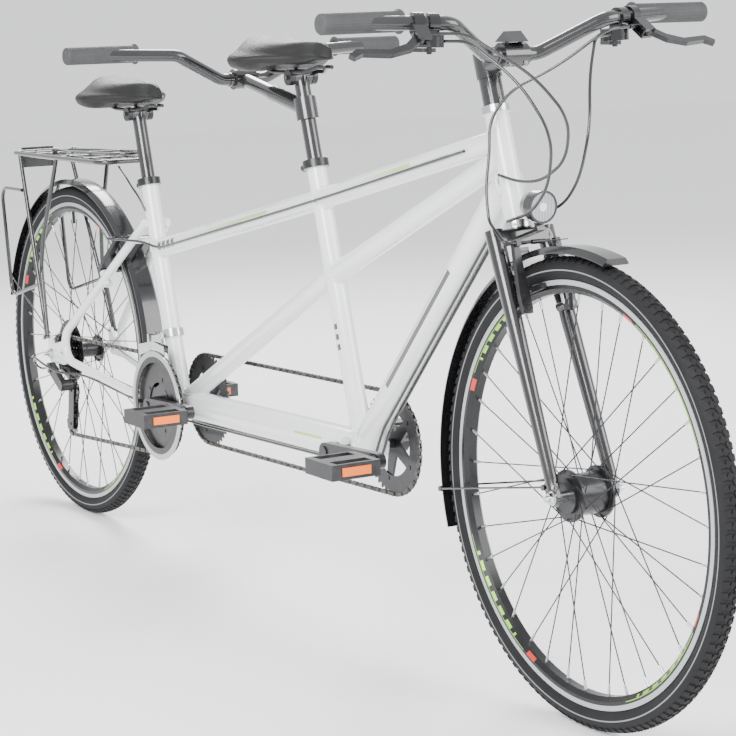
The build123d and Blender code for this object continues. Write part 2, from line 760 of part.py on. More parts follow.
def spindle(bb):
    bar = across((bb.X, bb.Z), -crank_outer + 1, crank_outer - 1, spindle_r)
    caps = [across((bb.X, bb.Z), side * (crank_outer + 0.1), side * (crank_outer + 2.5), 11)
            for side in (RIGHT, LEFT)]
    return [bar] + caps


captain_right_arm = crank_arm(captain_bb, RIGHT)
captain_right_arm = captain_right_arm + across((captain_bb.X, captain_bb.Z),
                                               -crank_inner + 12, -crank_inner, arm_hub_r)
save("captain_crankset", timing_side(captain_bb) + spindle(captain_bb)
     + [bore_arm(captain_right_arm, captain_bb, RIGHT)]
     + both(lambda side: pedal_axle(captain_bb, side)))

stoker_centre = (stoker_bb.X, stoker_bb.Z)
spider_in, spider_out = chain_line - 4.9, chain_line - 1.1
stoker_right_arm = crank_arm(stoker_bb, RIGHT)
stoker_right_arm = stoker_right_arm + across(stoker_centre, -spider_in, -crank_inner, arm_hub_r + 1)
stoker_right_arm = stoker_right_arm + star(stoker_centre, spider_r, 5, arm_a,
                                           -spider_in, -spider_out, 38, 8)
stoker_right_arm = bore_arm(stoker_right_arm, stoker_bb, RIGHT)
for bolt in ring_bolts(stoker_centre, spider_r, arm_a, -30, -70, 4.0 + slip):
    stoker_right_arm = stoker_right_arm - bolt
for bolt in ring_bolts(stoker_centre, 31, arm_a, -30, -60, 2.5 + slip):
    stoker_right_arm = stoker_right_arm - bolt
save("stoker_crankset", timing_side(stoker_bb) + spindle(stoker_bb) + [stoker_right_arm]
     + both(lambda side: pedal_axle(stoker_bb, side)))

rings = []
for i, teeth in enumerate(ring_teeth):
    bore = spider_r - 7.5 if i < 2 else 25
    rings.append(toothed(stoker_centre, teeth, -chain_line + i * ring_step, ring_thick, bore))
ring_screws = ring_bolts(stoker_centre, spider_r, arm_a, -chain_line - 2, -chain_line + 8)
for bolt in ring_bolts(stoker_centre, spider_r, arm_a, -70, -41, 4.0 + slip):
    rings[0] = rings[0] - bolt
    rings[1] = rings[1] - bolt
pillars = ring_bolts(stoker_centre, 31, arm_a, -spider_out, -chain_line + 2 * ring_step + 2, 2.5)
for bolt in ring_bolts(stoker_centre, 31, arm_a, -60, -30, 2.5 + slip):
    rings[2] = rings[2] - bolt
sleeves = ring_bolts(stoker_centre, 31, arm_a, -spider_in + 0.1, -chain_line + 2 * ring_step - 1.1,
                     4.5)
for i, pillar in enumerate(pillars):
    sleeves[i] = sleeves[i] - ring_bolts(stoker_centre, 31, arm_a, -60, -30, 2.5 + slip)[i]
guard_y = -chain_line - 7
guard_disc = across(stoker_centre, guard_y - 2, guard_y, guard_r, ring_r - 13)
guard_posts = ring_bolts(stoker_centre, ring_r - 9, arm_a + 0.6, guard_y + 0.1,
                         -chain_line - ring_thick / 2 - 0.1, 3.8)
save("chainrings", rings + ring_screws + pillars + sleeves + [guard_disc] + guard_posts)

# ---- pedals ------------------------------------------------------------------------


def pedal(bb, side):
    end = crank_end(bb, side)
    middle = pedal_inner + pedal_width / 2
    place = Pos(end[0], side * middle, end[1])
    body = place * Box(2 * pedal_half_length, pedal_width, 2 * pedal_half_height)
    body = body - place * Pos(27, 0, 0) * Box(24, pedal_width - 24, 60)
    body = body - place * Pos(-27, 0, 0) * Box(24, pedal_width - 24, 60)
    body = body - across(end, side * (pedal_inner - 5), side * (pedal_inner + pedal_width - 7),
                         5.0 + slip)
    parts = [body]
    for sign in (1, -1):
        parts.append(place * Pos(sign * (pedal_half_length + 1.6), 0, 0) * Box(3, 52, 14))
    return parts


save("captain_pedal_right", pedal(captain_bb, RIGHT))
save("captain_pedal_left", pedal(captain_bb, LEFT))
save("stoker_pedal_right", pedal(stoker_bb, RIGHT))
save("stoker_pedal_left", pedal(stoker_bb, LEFT))

# ---- wheels ------------------------------------------------------------------------


def ring_of(points):
    """Revolve a section of (y, r) about the Y axis."""
    return revolve(Plane.YZ * outline(points), axis=Axis.Y)


bead_r = rim_outer - 6.0
tyre_centre_r = wheel_radius - tyre_r
rim_floor = bead_r - seat_gap
rim_section = [(-7, rim_inner), (7, rim_inner), (rim_half, rim_inner + 7),
               (rim_half, rim_outer), (rim_half - rim_wall, rim_outer),
               (rim_half - rim_wall, rim_floor), (-rim_half + rim_wall, rim_floor),
               (-rim_half + rim_wall, rim_outer), (-rim_half, rim_outer),
               (-rim_half, rim_inner + 7)]
rim_hollow = [(-5.5, rim_inner + 2.5), (5.5, rim_inner + 2.5),
              (rim_half - rim_wall, rim_inner + 8), (rim_half - rim_wall, rim_floor - 2),
              (-rim_half + rim_wall, rim_floor - 2), (-rim_half + rim_wall, rim_inner + 8)]
rim_ring = ring_of(rim_section) - ring_of(rim_hollow)
bead_half = rim_half - rim_wall - seat_gap
crown_face = Pos(0, tyre_centre_r) * Circle(tyre_r)
below = Pos(0, rim_outer + seat_gap - 50) * Rectangle(200, 100)
bead_face = Pos(0, (bead_r + tyre_centre_r) / 2) * Rectangle(2 * bead_half, tyre_centre_r - bead_r)
tyre_face = (crown_face - below) + bead_face - Pos(0, tyre_centre_r) * Circle(tyre_r - tyre_wall)
tyre_ring = revolve(Plane.YZ * tyre_face, axis=Axis.Y)
valve_angle = 95.0


def lacing(flange_y, flange_r, first, lean):
    """Spokes and nipples of one flange, crossed three times."""
    spokes, nipples = [], []
    per_flange = spokes_per_wheel // 2
    outward = 1 if flange_y > 0 else -1
    leave = ((flange_r + 4) ** 2 - flange_r ** 2) ** 0.5 + 3
    lean_in = leave * (abs(flange_y) - lean) / (rim_inner - flange_r)
    for i in range(per_flange):
        hub_angle = first + 360 / per_flange * i
        sense = 1 if i % 2 == 0 else -1
        rim_angle = hub_angle + sense * 60
        stand = flange_thick / 2 + spoke_r + seat_gap
        if sense < 0:
            stand = stand + lean_in
        face = flange_y + outward * (-sense) * stand
        start = Vector(flange_r * cos(radians(hub_angle)), face,
                       flange_r * sin(radians(hub_angle)))
        r_end = rim_inner - 0.5
        end = Vector(r_end * cos(radians(rim_angle)), lean * outward,
                     r_end * sin(radians(rim_angle)))
        way = (end - start).normalized()
        join = end - way * nipple_length
        spokes.append(rod(start - way * 4, join, spoke_r))
        nipples.append(rod(join, end, nipple_r))
    return spokes, nipples


def wheel_spokes(left_y, right_y, flange_r, centre_x):
    all_pieces = []
    for y, first in ((left_y, 0), (-right_y, 10)):
        spokes, nipples = lacing(y, flange_r, first, 2.0)
        all_pieces = all_pieces + spokes + nipples
    return [Pos(centre_x, 0, axle_z) * piece for piece in all_pieces]


def valve(centre_x):
    a = radians(valve_angle)
    base = Vector(cos(a), 0, sin(a))
    centre = Vector(centre_x, 0, axle_z)
    return rod(centre + base * (rim_inner - seat_gap), centre + base * (rim_inner - 26), 3.2)


save("front_tyre", Pos(front_axle_x, 0, axle_z) * tyre_ring)
save("rear_tyre", Pos(rear_axle_x, 0, axle_z) * tyre_ring)
save("front_rim", [Pos(front_axle_x, 0, axle_z) * rim_ring, valve(front_axle_x)])
save("rear_rim", [Pos(rear_axle_x, 0, axle_z) * rim_ring, valve(rear_axle_x)])
save("front_spokes", wheel_spokes(dynamo_flange_y, dynamo_flange_y, dynamo_flange_r - 4,
                                  front_axle_x))
save("rear_spokes", wheel_spokes(rear_flange_left, rear_flange_right, rear_flange_r - 4,
                                 rear_axle_x))

# ---- hubs, axles and sprockets -----------------------------------------------------
front_centre = (front_axle_x, axle_z)
rear_centre = (rear_axle_x, axle_z)
dynamo_cap = dynamo_flange_y + 7
dynamo = across(front_centre, -dynamo_flange_y, dynamo_flange_y, dynamo_shell_r)
dynamo = dynamo + across(front_centre, -dynamo_cap, dynamo_cap, dynamo_shell_r - 5)
for side in (RIGHT, LEFT):
    near, far = dynamo_flange_y - flange_thick / 2, dynamo_flange_y + flange_thick / 2
    dynamo = dynamo + across(front_centre, side * near, side * far, dynamo_flange_r)
dynamo = dynamo - across(front_centre, -dynamo_cap - 1, dynamo_cap + 1, cone_r + slip)
save("dynamo_hub", dynamo)

rear_body_left = rear_flange_left + 3
rear_body_right = rear_flange_right + 7.6
rear_body = across(rear_centre, -rear_body_right, rear_body_left, rear_shell_r)
for side, y in ((LEFT, rear_flange_left), (RIGHT, rear_flange_right)):
    rear_body = rear_body + across(rear_centre, side * (y - flange_thick / 2),
                                   side * (y + flange_thick / 2), rear_flange_r)
rear_body = rear_body - across(rear_centre, -60, 60, cone_r + slip)
spoke_disc = across(rear_centre, -rear_body_right + 1.2, -rear_body_right + 0.2,
                    pitch_r(sprocket_teeth[0]) + 10, rear_shell_r + slip)
save("rear_hub", [rear_body, spoke_disc])

core_in = rear_body_right + 0.5
first_sprocket = chain_line - driven_sprocket * sprocket_step
core_out = first_sprocket + 6 * sprocket_step + 2.2
core_r = 20.0
core = across(rear_centre, -core_in, -core_out, core_r) - across(rear_centre, -90, 0, cone_r + slip)
freewheel = [core]
for i, teeth in enumerate(sprocket_teeth):
    freewheel.append(toothed(rear_centre, teeth, -(first_sprocket + i * sprocket_step), 2.0,
                             core_r + slip))
save("freewheel", freewheel)


def axle(centre, half, inner_left, inner_right, seat, nut_from):
    """A threaded axle with its cones, washers and nuts."""
    shoulder = nut_from + nut_high + axle_neck
    bar = across(centre, -shoulder, shoulder, axle_r)
    for side, inner in ((LEFT, inner_left), (RIGHT, inner_right)):
        bar = bar + across(centre, side * shoulder, side * (shoulder + 2 * axle_neck), axle_neck_r)
        bar = bar + across(centre, side * (shoulder + 2 * axle_neck), side * half, axle_end_r)
        bar = bar + across(centre, side * inner, side * (seat - seat_gap / 3), cone_r)
    pieces = [bar]
    for side in (LEFT, RIGHT):
        place = Plane(origin=(centre[0], side * nut_from, centre[1]), z_dir=(0, side, 0))
        nut = place * extrude(RegularPolygon(8.5, 6), amount=nut_high)
        nut = nut + place * Cylinder(10.5, 1.5, align=BOTTOM)
        pieces.append(nut - across(centre, -200, 200, axle_r + slip / 2))
    return pieces


fork_in = fork_spacing / 2
fork_out = fork_in + 6.0
save("front_axle", axle(front_centre, front_axle_half, dynamo_flange_y - 4,
                        dynamo_flange_y - 4, fork_in, fork_out + 0.1))
save("rear_axle", axle(rear_centre, rear_axle_half, rear_flange_left - 6,
                       rear_flange_right - 6, dropout_in, dropout_out + 0.1))

# ---- fork --------------------------------------------------------------------------
crown_along = 396.0
crown_high = 26.0
crown_deep = 34.0
crown_side = 46.0
leg_top_r = 14.5
leg_end_r = 9.5
leg_end_side = fork_in + 3.0
race_top = head_tube_low - cup_height - seat_gap
steerer_top = bar_along + 22.0
fork = rod(on_steer(crown_along), on_steer(steerer_top), steerer_r)
fork = fork + rod(on_steer(crown_along + crown_high / 2 - 1), on_steer(race_top), cup_r - 1)
crown_place = Plane(origin=on_steer(crown_along), x_dir=steer_ahead, z_dir=steer_up)
crown = crown_place * Box(crown_deep, 2 * crown_side, crown_high)
fork = fork + fillet(crown.edges().filter_by(Axis.Y), 6)


def fork_side(side):
    end = Vector(front_axle_x - 2, side * leg_end_side, axle_z + 12)
    top = on_steer(crown_along + crown_high / 2, 2, side * crown_side)
    leg = rod(top, end, leg_top_r, leg_end_r)
    plate = hull_face([(front_axle_x, axle_z, 13), (end.X - 1, end.Z + 6, 8)])
    eyelet = (front_axle_x + front_eyelet_at[0], axle_z + front_eyelet_at[1])
    plate = plate + hull_face([(front_axle_x, axle_z, 12), (eyelet[0], eyelet[1], 7)])
    leg = leg + slab(plate, side * fork_in, side * fork_out)
    leg = leg + brake_boss(front_pivot, front_out, side, 22)
    leg = leg - across(front_centre, side * 30, side * 90, axle_r + slip)
    return leg - across(eyelet, side * 30, side * 90, 2.5)


fork = fork + fork_side(RIGHT) + fork_side(LEFT)
save("fork", fork)

# ---- front mudguard with its screws ------------------------------------------------
tab_low = guard_radius + guard_wall + 0.3
crown_tab = Plane(origin=on_steer(0, fork_offset), x_dir=steer_ahead, z_dir=steer_up)
tab_high = crown_along - crown_high / 2 - 0.3
crown_tab = crown_tab * Pos(-fork_offset, 0, (tab_low + tab_high) / 2 - 2.2)
crown_tab = crown_tab * Box(12, 16, tab_high - tab_low)
save("front_mudguard", [front_guard, crown_tab] + front_guard_stays
     + [eyelet_screw(front_axle_x, front_eyelet_at, side * (fork_in + 1),
                     side * (front_stay_side + 1.9)) for side in (RIGHT, LEFT)])

# ---- stem --------------------------------------------------------------------------
spacer_r = 17.5
stem_low = bar_along - 18.0
stem_high = bar_along + 24.0
stack = head_tube_low + head_tube_length + cup_height + seat_gap
spacer_count = 3
spacer_high = (stem_low - stack) / spacer_count
stem_parts = []
for i in range(spacer_count):
    low = stack + i * spacer_high
    stem_parts.append(pipe(on_steer(low), on_steer(low + spacer_high - 0.2), spacer_r,
                           steerer_r + slip))
bar_centre = on_steer(bar_along, stem_reach)
bar_bulge_r = 12.7
clamp_r = 19.0
stem_body = rod(on_steer(stem_low), on_steer(stem_high), 20)
stem_body = stem_body + rod(on_steer(bar_along), bar_centre, 15)
stem_body = stem_body + across((bar_centre.X, bar_centre.Z), -22, 22, clamp_r)
stem_body = stem_body - rod(on_steer(stem_low - 5), on_steer(stem_high + 5), steerer_r + slip)
stem_body = stem_body - across((bar_centre.X, bar_centre.Z), -60, 60, bar_bulge_r + slip)
cut_place = Plane(origin=bar_centre, x_dir=steer_ahead, z_dir=steer_up)
stem_body = stem_body - cut_place * Pos(2, 0, 0) * Box(0.8, 60, 60)
for y in (-14, 14):
    for up in (-15.8, 15.8):
        stem_body = stem_body + cut_place * Pos(8, y, up) * Rot(0, 90, 0) * Cylinder(3.6, 11)
stem_body = stem_body - across((bar_centre.X, bar_centre.Z), -60, 60, bar_bulge_r + slip)
top_cap = rod(on_steer(stem_high + 0.3), on_steer(stem_high + 4), 17.5)
top_cap = top_cap + rod(on_steer(stem_high + 4), on_steer(stem_high + 7), 4.5)
peak = outline([(bar_centre.X - 22, bar_centre.Z + clamp_r + 0.8),
                (bar_centre.X + 22, bar_centre.Z + clamp_r + 0.8),
                (bar_centre.X + 2, bar_centre.Z + clamp_r + 17)])
save("stem", stem_parts + [stem_body, top_cap, slab(peak, -16, 16)])

# ---- handlebars --------------------------------------------------------------------
bar_bend_r = 36.0


def bar_points(centre, shoulder, corner, end):
    """Left half of a bar, from its centre run outwards, as ahead, side, height."""
    half = [at(*end), at(*corner), Vector(centre.X + shoulder[0], shoulder[1], centre.Z)]
    other = [Vector(p.X, -p.Y, p.Z) for p in reversed(half)]
    return half + other


def along_grip(points, y):
    """The point of the left grip's axis at a distance from the middle plane."""
    end, corner = points[0], points[1]
    return corner + (end - corner) * ((y - corner.Y) / (end.Y - corner.Y))


captain_bar = bar_points(bar_centre, (0, 46), (1703, 138, 1044.6), (1662, 339, 1051))
stoker_bar_centre = at(778, 0, 943)
stoker_bar_line = bar_points(stoker_bar_centre, (0, 46), (789.8, 138, 990.4), (744, 335, 998))


def handlebar(points):
    bar = bent(points, bar_r, bar_bend_r)
    middle = (points[2] + points[3]) * 0.5
    return bar + rod(middle - Vector(0, 30, 0), middle + Vector(0, 30, 0), bar_bulge_r)


def grip_pair(points):
    end = points[0]
    way = (end - points[1]).normalized()
    inner = end - way * grip_length
    grip = rod(inner, end + way * 3.5, grip_r)
    grip = grip + rod(inner, inner + way * 4, grip_r + 2.5)
    grip = grip - rod(inner - way * 5, end + way * 0.3, bar_r + slip)
    return [grip, mirrored(grip)]


save("handlebar", handlebar(captain_bar))
save("handlebar_grips", grip_pair(captain_bar))

# ---- brake levers and shifters on the captain's bar --------------------------------
grip_way = (captain_bar[0] - captain_bar[1]).normalized()
grip_start = captain_bar[0] - grip_way * grip_length
grip_up = Vector(0, 0, 1) - grip_way * grip_way.Z
left_grip = Plane(origin=grip_start, x_dir=grip_way, z_dir=grip_up)
lever_droop = 38.0           # of the brake levers, below the level of the grips
left_lever = left_grip * Rot(lever_droop, 0, 0)
lever_pivot = (-14.0, -36.0)
lever_half = 4.0
shifter_at = (-44.0, 12.0)
lever_pin_r = 3.0
shifter_pin_r = 4.0


def flat(points, z0, z1):
    return Pos(0, 0, z0) * extrude(outline(points), amount=z1 - z0)


def post_at(place, z0, z1, r):
    return Pos(place[0], place[1], z0) * Cylinder(r, z1 - z0, align=BOTTOM)


bracket = rod((-28, 0, 0), (-12, 0, 0), 16) + Pos(-19, -27, 0) * Box(22, 34, 18)
bracket = bracket - Pos(-19, -40, 0) * Box(60, 28, 2 * lever_half + 1)
bracket = bracket - rod((-60, 0, 0), (20, 0, 0), bar_r + slip)
bracket = bracket + post_at(lever_pivot, -9, 9, lever_pin_r)
barrel = rod((-30.2, -24, 0), (-44, -24, 0), 4)
pod = rod((-52, 0, 0), (-36, 0, 0), 15) + Pos(-44, 6, -14) * Box(16, 18, 12)
pod = pod + post_at(shifter_at, -35, -17.2, 22)
pod = pod - rod((-90, 0, 0), (20, 0, 0), bar_r + slip)
pod = pod + post_at(shifter_at, -45, -35, shifter_pin_r)
lever = flat([(-14, -44), (6, -64), (40, -76), (82, -74), (97, -83), (104, -76),
              (90, -64), (40, -65), (12, -52), (-8, -30)], -lever_half, lever_half)
lever = lever + post_at(lever_pivot, -lever_half, lever_half, 8)
lever = lever - post_at(lever_pivot, -20, 20, lever_pin_r + slip)
paddle = flat([(-51, 14), (-38, 8), (-22, 38), (-18, 50), (-32, 54), (-46, 40)], -42, -36)
paddle = paddle + post_at(shifter_at, -42, -36, 10) - post_at(shifter_at, -60, -20,
                                                              shifter_pin_r + slip)
control_parts = [left_lever * bracket + left_lever * barrel, left_grip * pod]
save("control_brackets", control_parts + [mirrored(piece) for piece in control_parts])
save("brake_lever_left", left_lever * lever)
save("brake_lever_right", mirrored(left_lever * lever))
save("shift_lever_left", left_grip * paddle)
save("shift_lever_right", mirrored(left_grip * paddle))

# ---- headlamp ----------------------------------------------------------------------
lamp_along, lamp_ahead = 433.0, 56.0
lamp_r = 25.0
lamp_centre = on_steer(lamp_along, lamp_ahead)
lamp_place = Plane(origin=lamp_centre, x_dir=(0, 1, 0), z_dir=(1, 0, -0.06))
lamp_shape = [(0, -24), (9, -24), (19, -14), (24, 2), (lamp_r, 16), (lamp_r, 21),
              (lamp_r - 3, 21), (lamp_r - 3, 17), (0, 17)]
lamp = revolve(Plane.XZ * outline(lamp_shape), axis=Axis.Z)
lens = Pos(0, 0, 17.3) * Cylinder(lamp_r - 3.3, 3, align=BOTTOM)
lamp_foot = crown_place * Pos(crown_deep / 2 + 0.2 + 22, 0, 0) * Box(44, 16, 4)
lamp_leg = crown_place * Pos(lamp_ahead, 0, 7) * Box(6, 14, 16)
lamp_mount = lamp_foot + lamp_leg - lamp_place * Pos(0, 0, 0) * Cylinder(lamp_r + 0.3, 60)
save("headlamp", [lamp_place * lamp, lamp_place * lens,
                  max(lamp_mount.solids(), key=lambda s: s.volume)])

# ---- rim brakes --------------------------------------------------------------------
front_brake_place = Plane(origin=front_pivot, x_dir=front_out,
                          z_dir=front_pivot - Vector(front_axle_x, 0, axle_z))
rear_brake_place = Plane(origin=rear_pivot, x_dir=rear_out,
                         z_dir=rear_pivot - Vector(rear_axle_x, 0, axle_z))
pad_thick = 9.0
pad_up = 26.5
arm_mid = 6.5
wire_out = 13.4
wire_up = 97.0


def brake_arm(place, s, noodle):
    """One arm in its own frame: x off the tube, y outwards by the sign s, z up the wheel."""
    half = brake_pivot_half
    profile = [(-8, -9), (8, -9), (9, 20), (6, 60), (2, brake_arm_length),
               (-7, brake_arm_length), (-7, 60), (-9, 20)]
    arm = extrude(Plane.YZ * outline([(s * (half + y), z) for y, z in profile]), amount=9)
    arm = Pos(2, 0, 0) * arm
    arm = arm + rod((seat_gap, s * half, 0), (12.5, s * half, 0), 8.5)
    arm = arm - rod((-5, s * half, 0), (20, s * half, 0), boss_pin_r + slip)
    pad_face = rim_half + pad_gap
    arm = arm + rod((arm_mid, s * (half - 8), pad_up),
                    (arm_mid, s * (pad_face + pad_thick - 1), pad_up), 3.2)
    pad = Pos(arm_mid, s * (pad_face + pad_thick / 2), pad_up) * Box(52, pad_thick, 9)
    arm = arm + pad
    if noodle:
        arm = arm + Pos(wire_out - 0.5, s * (half - 3), wire_up) * Box(8, 8, 9)
        arm = arm + bent([(wire_out, s * (half - 2), wire_up), (wire_out, s * (half + 20), wire_up),
                          (wire_out - 22, s * (half + 17), wire_up + 26)], 2.6, 10)
        arm = arm + rod((wire_out, s * (half - 4), wire_up), (wire_out, -s * (half + 14), wire_up),
                        0.9)
        arm = arm + rod((wire_out, 12, wire_up), (wire_out, -12, wire_up), 3.6)
    else:
        arm = arm + rod((10, s * (half - 2.5), wire_up), (12.2, s * (half - 2.5), wire_up), 4.6)
    return place * arm


save("front_brake_arm_right", brake_arm(front_brake_place, -1, True))
save("front_brake_arm_left", brake_arm(front_brake_place, 1, False))
save("rear_brake_arm_right", brake_arm(rear_brake_place, 1, True))
save("rear_brake_arm_left", brake_arm(rear_brake_place, -1, False))

# ---- derailleurs -------------------------------------------------------------------
band_height = 436.0
band_at = on_seat(stoker_bb, stoker_up, band_height)
band = rod(band_at - stoker_up * 8, band_at + stoker_up * 8, seat_tube_r + 4.5)
cage_pin = Vector(band_at.X - 4, -30, band_height - 2)
cage_pin_r = 2.5
band = band + Pos(cage_pin.X, -21, cage_pin.Z) * Box(10, 14, 12)
band = band + rod(cage_pin - Vector(16, 0, 0), cage_pin + Vector(16, 0, 0), cage_pin_r)
band = band + Pos(cage_pin.X, -26, cage_pin.Z) * Box(10, 10, 9)
band = band - rod(band_at - stoker_up * 20, band_at + stoker_up * 20, seat_tube_r + slip)
band = band - Pos(band_at.X + 16, 0, band_at.Z) * Box(20, 1.6, 40)
knuckle_r = 11.0
knuckle_in = dropout_out + seat_gap
knuckle_out = knuckle_in + 14.0
hanger_place = (rear_axle_x + hanger_at[0], hanger_at[1])
hanger_bolt = across(hanger_place, -dropout_in, -knuckle_out - 2, 4.9)
hanger_bolt = hanger_bolt + across(hanger_place, -knuckle_out - 0.2, -knuckle_out - 3, 7)
save("derailleur_mounts", [band, hanger_bolt])

cage_front = chain_line - 5.0
cage_back = chain_line + 5.0
cage_shape = [(35, 104), (35, 120), (-20, 124), (-78, 112), (-78, 90), (-50, 98), (-20, 107),
              (5, 108)]
cage_face = outline([(stoker_bb.X + x, stoker_bb.Z + z) for x, z in cage_shape])
cage = slab(cage_face, -cage_front, -cage_front + 1.2) + slab(cage_face, -cage_back, -cage_back - 1.2)
cage = cage + Pos(stoker_bb.X - 40, -chain_line, stoker_bb.Z + 111) * Box(24, 11, 6)
cage = cage + Pos(cage_pin.X - 10, -39, cage_pin.Z - 8) * Box(7, 18, 22)
cage = cage + Pos(cage_pin.X + 10, -39, cage_pin.Z - 8) * Box(7, 18, 22)
for shift in (-10, 10):
    cage = cage + rod(cage_pin + Vector(shift - 3.5, 0, 0), cage_pin + Vector(shift + 3.5, 0, 0), 6)
cage = cage - rod(cage_pin - Vector(40, 0, 0), cage_pin + Vector(40, 0, 0), cage_pin_r + slip)
save("front_derailleur_cage", cage)

cage_pivot = (rear_axle_x + cage_pivot_at[0], cage_pivot_at[1])
p_in, p_out = chain_line + 8.5, knuckle_out - 4
arm_face = hull_face([(hanger_place[0], hanger_place[1], knuckle_r),
                      (cage_pivot[0], cage_pivot[1], knuckle_r)])
rear_arm = slab(arm_face, -knuckle_in, -knuckle_out + 2)
rear_arm = rear_arm + across(hanger_place, -knuckle_in, -knuckle_out, knuckle_r)
rear_arm = rear_arm + across(cage_pivot, -p_in, -p_out, knuckle_r + 1)
rear_arm = rear_arm - across(hanger_place, -40, -120, 4.9 + slip)
rear_arm = rear_arm + across(cage_pivot, -cage_back - 1, -p_in, 4)
save("rear_derailleur_arm", rear_arm)

pulley_bore_r = 3.0
long_cage = hull_face([(upper_pulley[0], upper_pulley[1], 13), (lower_pulley[0], lower_pulley[1], 13)])
hung = hull_face([(upper_pulley[0], upper_pulley[1], 12), (cage_pivot[0], cage_pivot[1], 12)])
plate_in, plate_out = chain_line - 4.6, chain_line + 4.6
rear_cage = slab(long_cage, -plate_in, -plate_in + 1.5) + slab(long_cage + hung, -plate_out,
                                                               -plate_out - 1.5)
rear_cage = rear_cage + across(cage_pivot, -plate_out - 1, -p_in + 0.3, 9)
rear_cage = rear_cage - across(cage_pivot, -40, -90, 4 + slip)
for centre in (upper_pulley, lower_pulley):
    rear_cage = rear_cage + across(centre, -plate_in + 3, -plate_out - 3, pulley_bore_r)
save("rear_derailleur_cage", rear_cage)
save("upper_pulley", toothed(upper_pulley, pulley_teeth, -chain_line, 2.0, pulley_bore_r + slip)
     + (across(upper_pulley, -chain_line - 3.5, -chain_line + 3.5, 8)
        - across(upper_pulley, -90, 0, pulley_bore_r + slip)))
save("lower_pulley", toothed(lower_pulley, pulley_teeth, -chain_line, 2.0, pulley_bore_r + slip)
     + (across(lower_pulley, -chain_line - 3.5, -chain_line + 3.5, 8)
        - across(lower_pulley, -90, 0, pulley_bore_r + slip)))

# ---- seat posts, stoker's bar, saddles ---------------------------------------------
post_wall = 2.6
head_half = 17.0
head_r = 13.0
saddle_bolt_r = 4.0


def seatpost(top, up, above):
    low, high = top - up * post_inside, top + up * above
    post = pipe(low, high - up * 8, post_r, post_r - post_wall)
    post = post + rod(high - up * 30, high, post_r)
    post = post + across((high.X, high.Z), -head_half, head_half, head_r)
    return post + across((high.X, high.Z), -head_half - 14, head_half + 14, saddle_bolt_r), high


captain_post, captain_clamp = seatpost(captain_top, captain_up, captain_post_above)
stoker_post, stoker_clamp = seatpost(stoker_top, stoker_up, stoker_post_above)
save("captain_seatpost", captain_post)
save("stoker_seatpost", stoker_post)

ring_up = 95.0
ring_mid = captain_top + captain_up * ring_up
stem_line = (stoker_bar_centre - ring_mid).normalized()
stem_ring = rod(ring_mid - captain_up * 20, ring_mid + captain_up * 20, post_r + 6)
stem_ring = stem_ring + rod(ring_mid, ring_mid + stem_line * 120, 15)
stem_ring = stem_ring + rod(ring_mid + stem_line * 110, stoker_bar_centre, 12.7)
stem_ring = stem_ring + across((stoker_bar_centre.X, stoker_bar_centre.Z), -21, 21, clamp_r)
stem_ring = stem_ring - rod(ring_mid - captain_up * 40, ring_mid + captain_up * 40, post_r + slip)
stem_ring = stem_ring - across((stoker_bar_centre.X, stoker_bar_centre.Z), -60, 60,
                               bar_bulge_r + slip)
save("stoker_bar", [stem_ring, handlebar(stoker_bar_line)])
save("stoker_grips", grip_pair(stoker_bar_line))

saddle_rear = 150.0          # behind the clamp
rail_up = 9.0


def saddle(clamp):
    """A padded seat, nose forward, with its base above the clamp."""
    w = saddle_half_width
    right = [(-saddle_rear, 0), (-saddle_rear + 4, 0.55 * w), (-saddle_rear + 32, 0.92 * w),
             (-saddle_rear + 72, w), (-saddle_rear + 120, 0.7 * w),
             (-saddle_rear + 168, 0.38 * w), (-saddle_rear + 215, 0.24 * w),
             (saddle_length - saddle_rear - 6, 0.17 * w), (saddle_length - saddle_rear, 0)]
    points = right + [(x, -y) for x, y in reversed(right[1:-1])]
    shape = make_face(Spline(*points, periodic=True))
    body = extrude(Pos(0, 0, -saddle_skirt) * shape, amount=saddle_thick + saddle_skirt)
    body = fillet(body.faces().sort_by(Axis.Z)[-1].edges(), 14)
    below_base = 2 * saddle_skirt
    front = Box(saddle_length, 4 * w, below_base)
    body = body - Pos(-skirt_front + saddle_length / 2, 0, -saddle_skirt) * front
    hollow = Box(saddle_rear - skirt_wall, 2 * skirt_inner * w, below_base)
    body = body - Pos(-(saddle_rear - skirt_wall) / 2, 0, -saddle_skirt) * hollow
    return Pos(clamp.X, 0, clamp.Z + saddle_above_clamp) * body


def saddle_rails(clamp):
    pieces = []
    top = saddle_above_clamp - rail_r - seat_gap
    for side in (RIGHT, LEFT):
        y = side * rail_half_gap
        line = [clamp + Vector(-112, side * 34, top), clamp + Vector(-88, side * 31, top),
                clamp + Vector(-55, y, rail_up), clamp + Vector(45, y, rail_up),
                clamp + Vector(76, side * 9, top), clamp + Vector(96, side * 8, top)]
        rail = bent(line, rail_r, 12)
        ear = across((clamp.X, clamp.Z), side * (head_half + seat_gap), side * (head_half + 10), 14)
        ear = ear - across((clamp.X, clamp.Z), -90, 90, saddle_bolt_r + slip)
        pieces.append(rail + ear)
    return pieces


save("captain_saddle", saddle(captain_clamp))
save("stoker_saddle", saddle(stoker_clamp))
save("captain_saddle_rails", saddle_rails(captain_clamp))
save("stoker_saddle_rails", saddle_rails(stoker_clamp))

# ---- cables ------------------------------------------------------------------------
cable_r = 2.4
top_way = (on_steer(top_tube_head) - top_at_captain).normalized()
side_y = -(top_tube_r + cable_r + 0.5)


def noodle_mouth(place, s, beyond):
    """A point on the line on which a housing enters a brake's bent tube."""
    spot = place * Pos(wire_out - 22 - 0.64 * beyond,
                       s * (brake_pivot_half + 17 - 0.09 * beyond),
                       wire_up + 26 + 0.76 * beyond)
    return Vector(*spot.position)


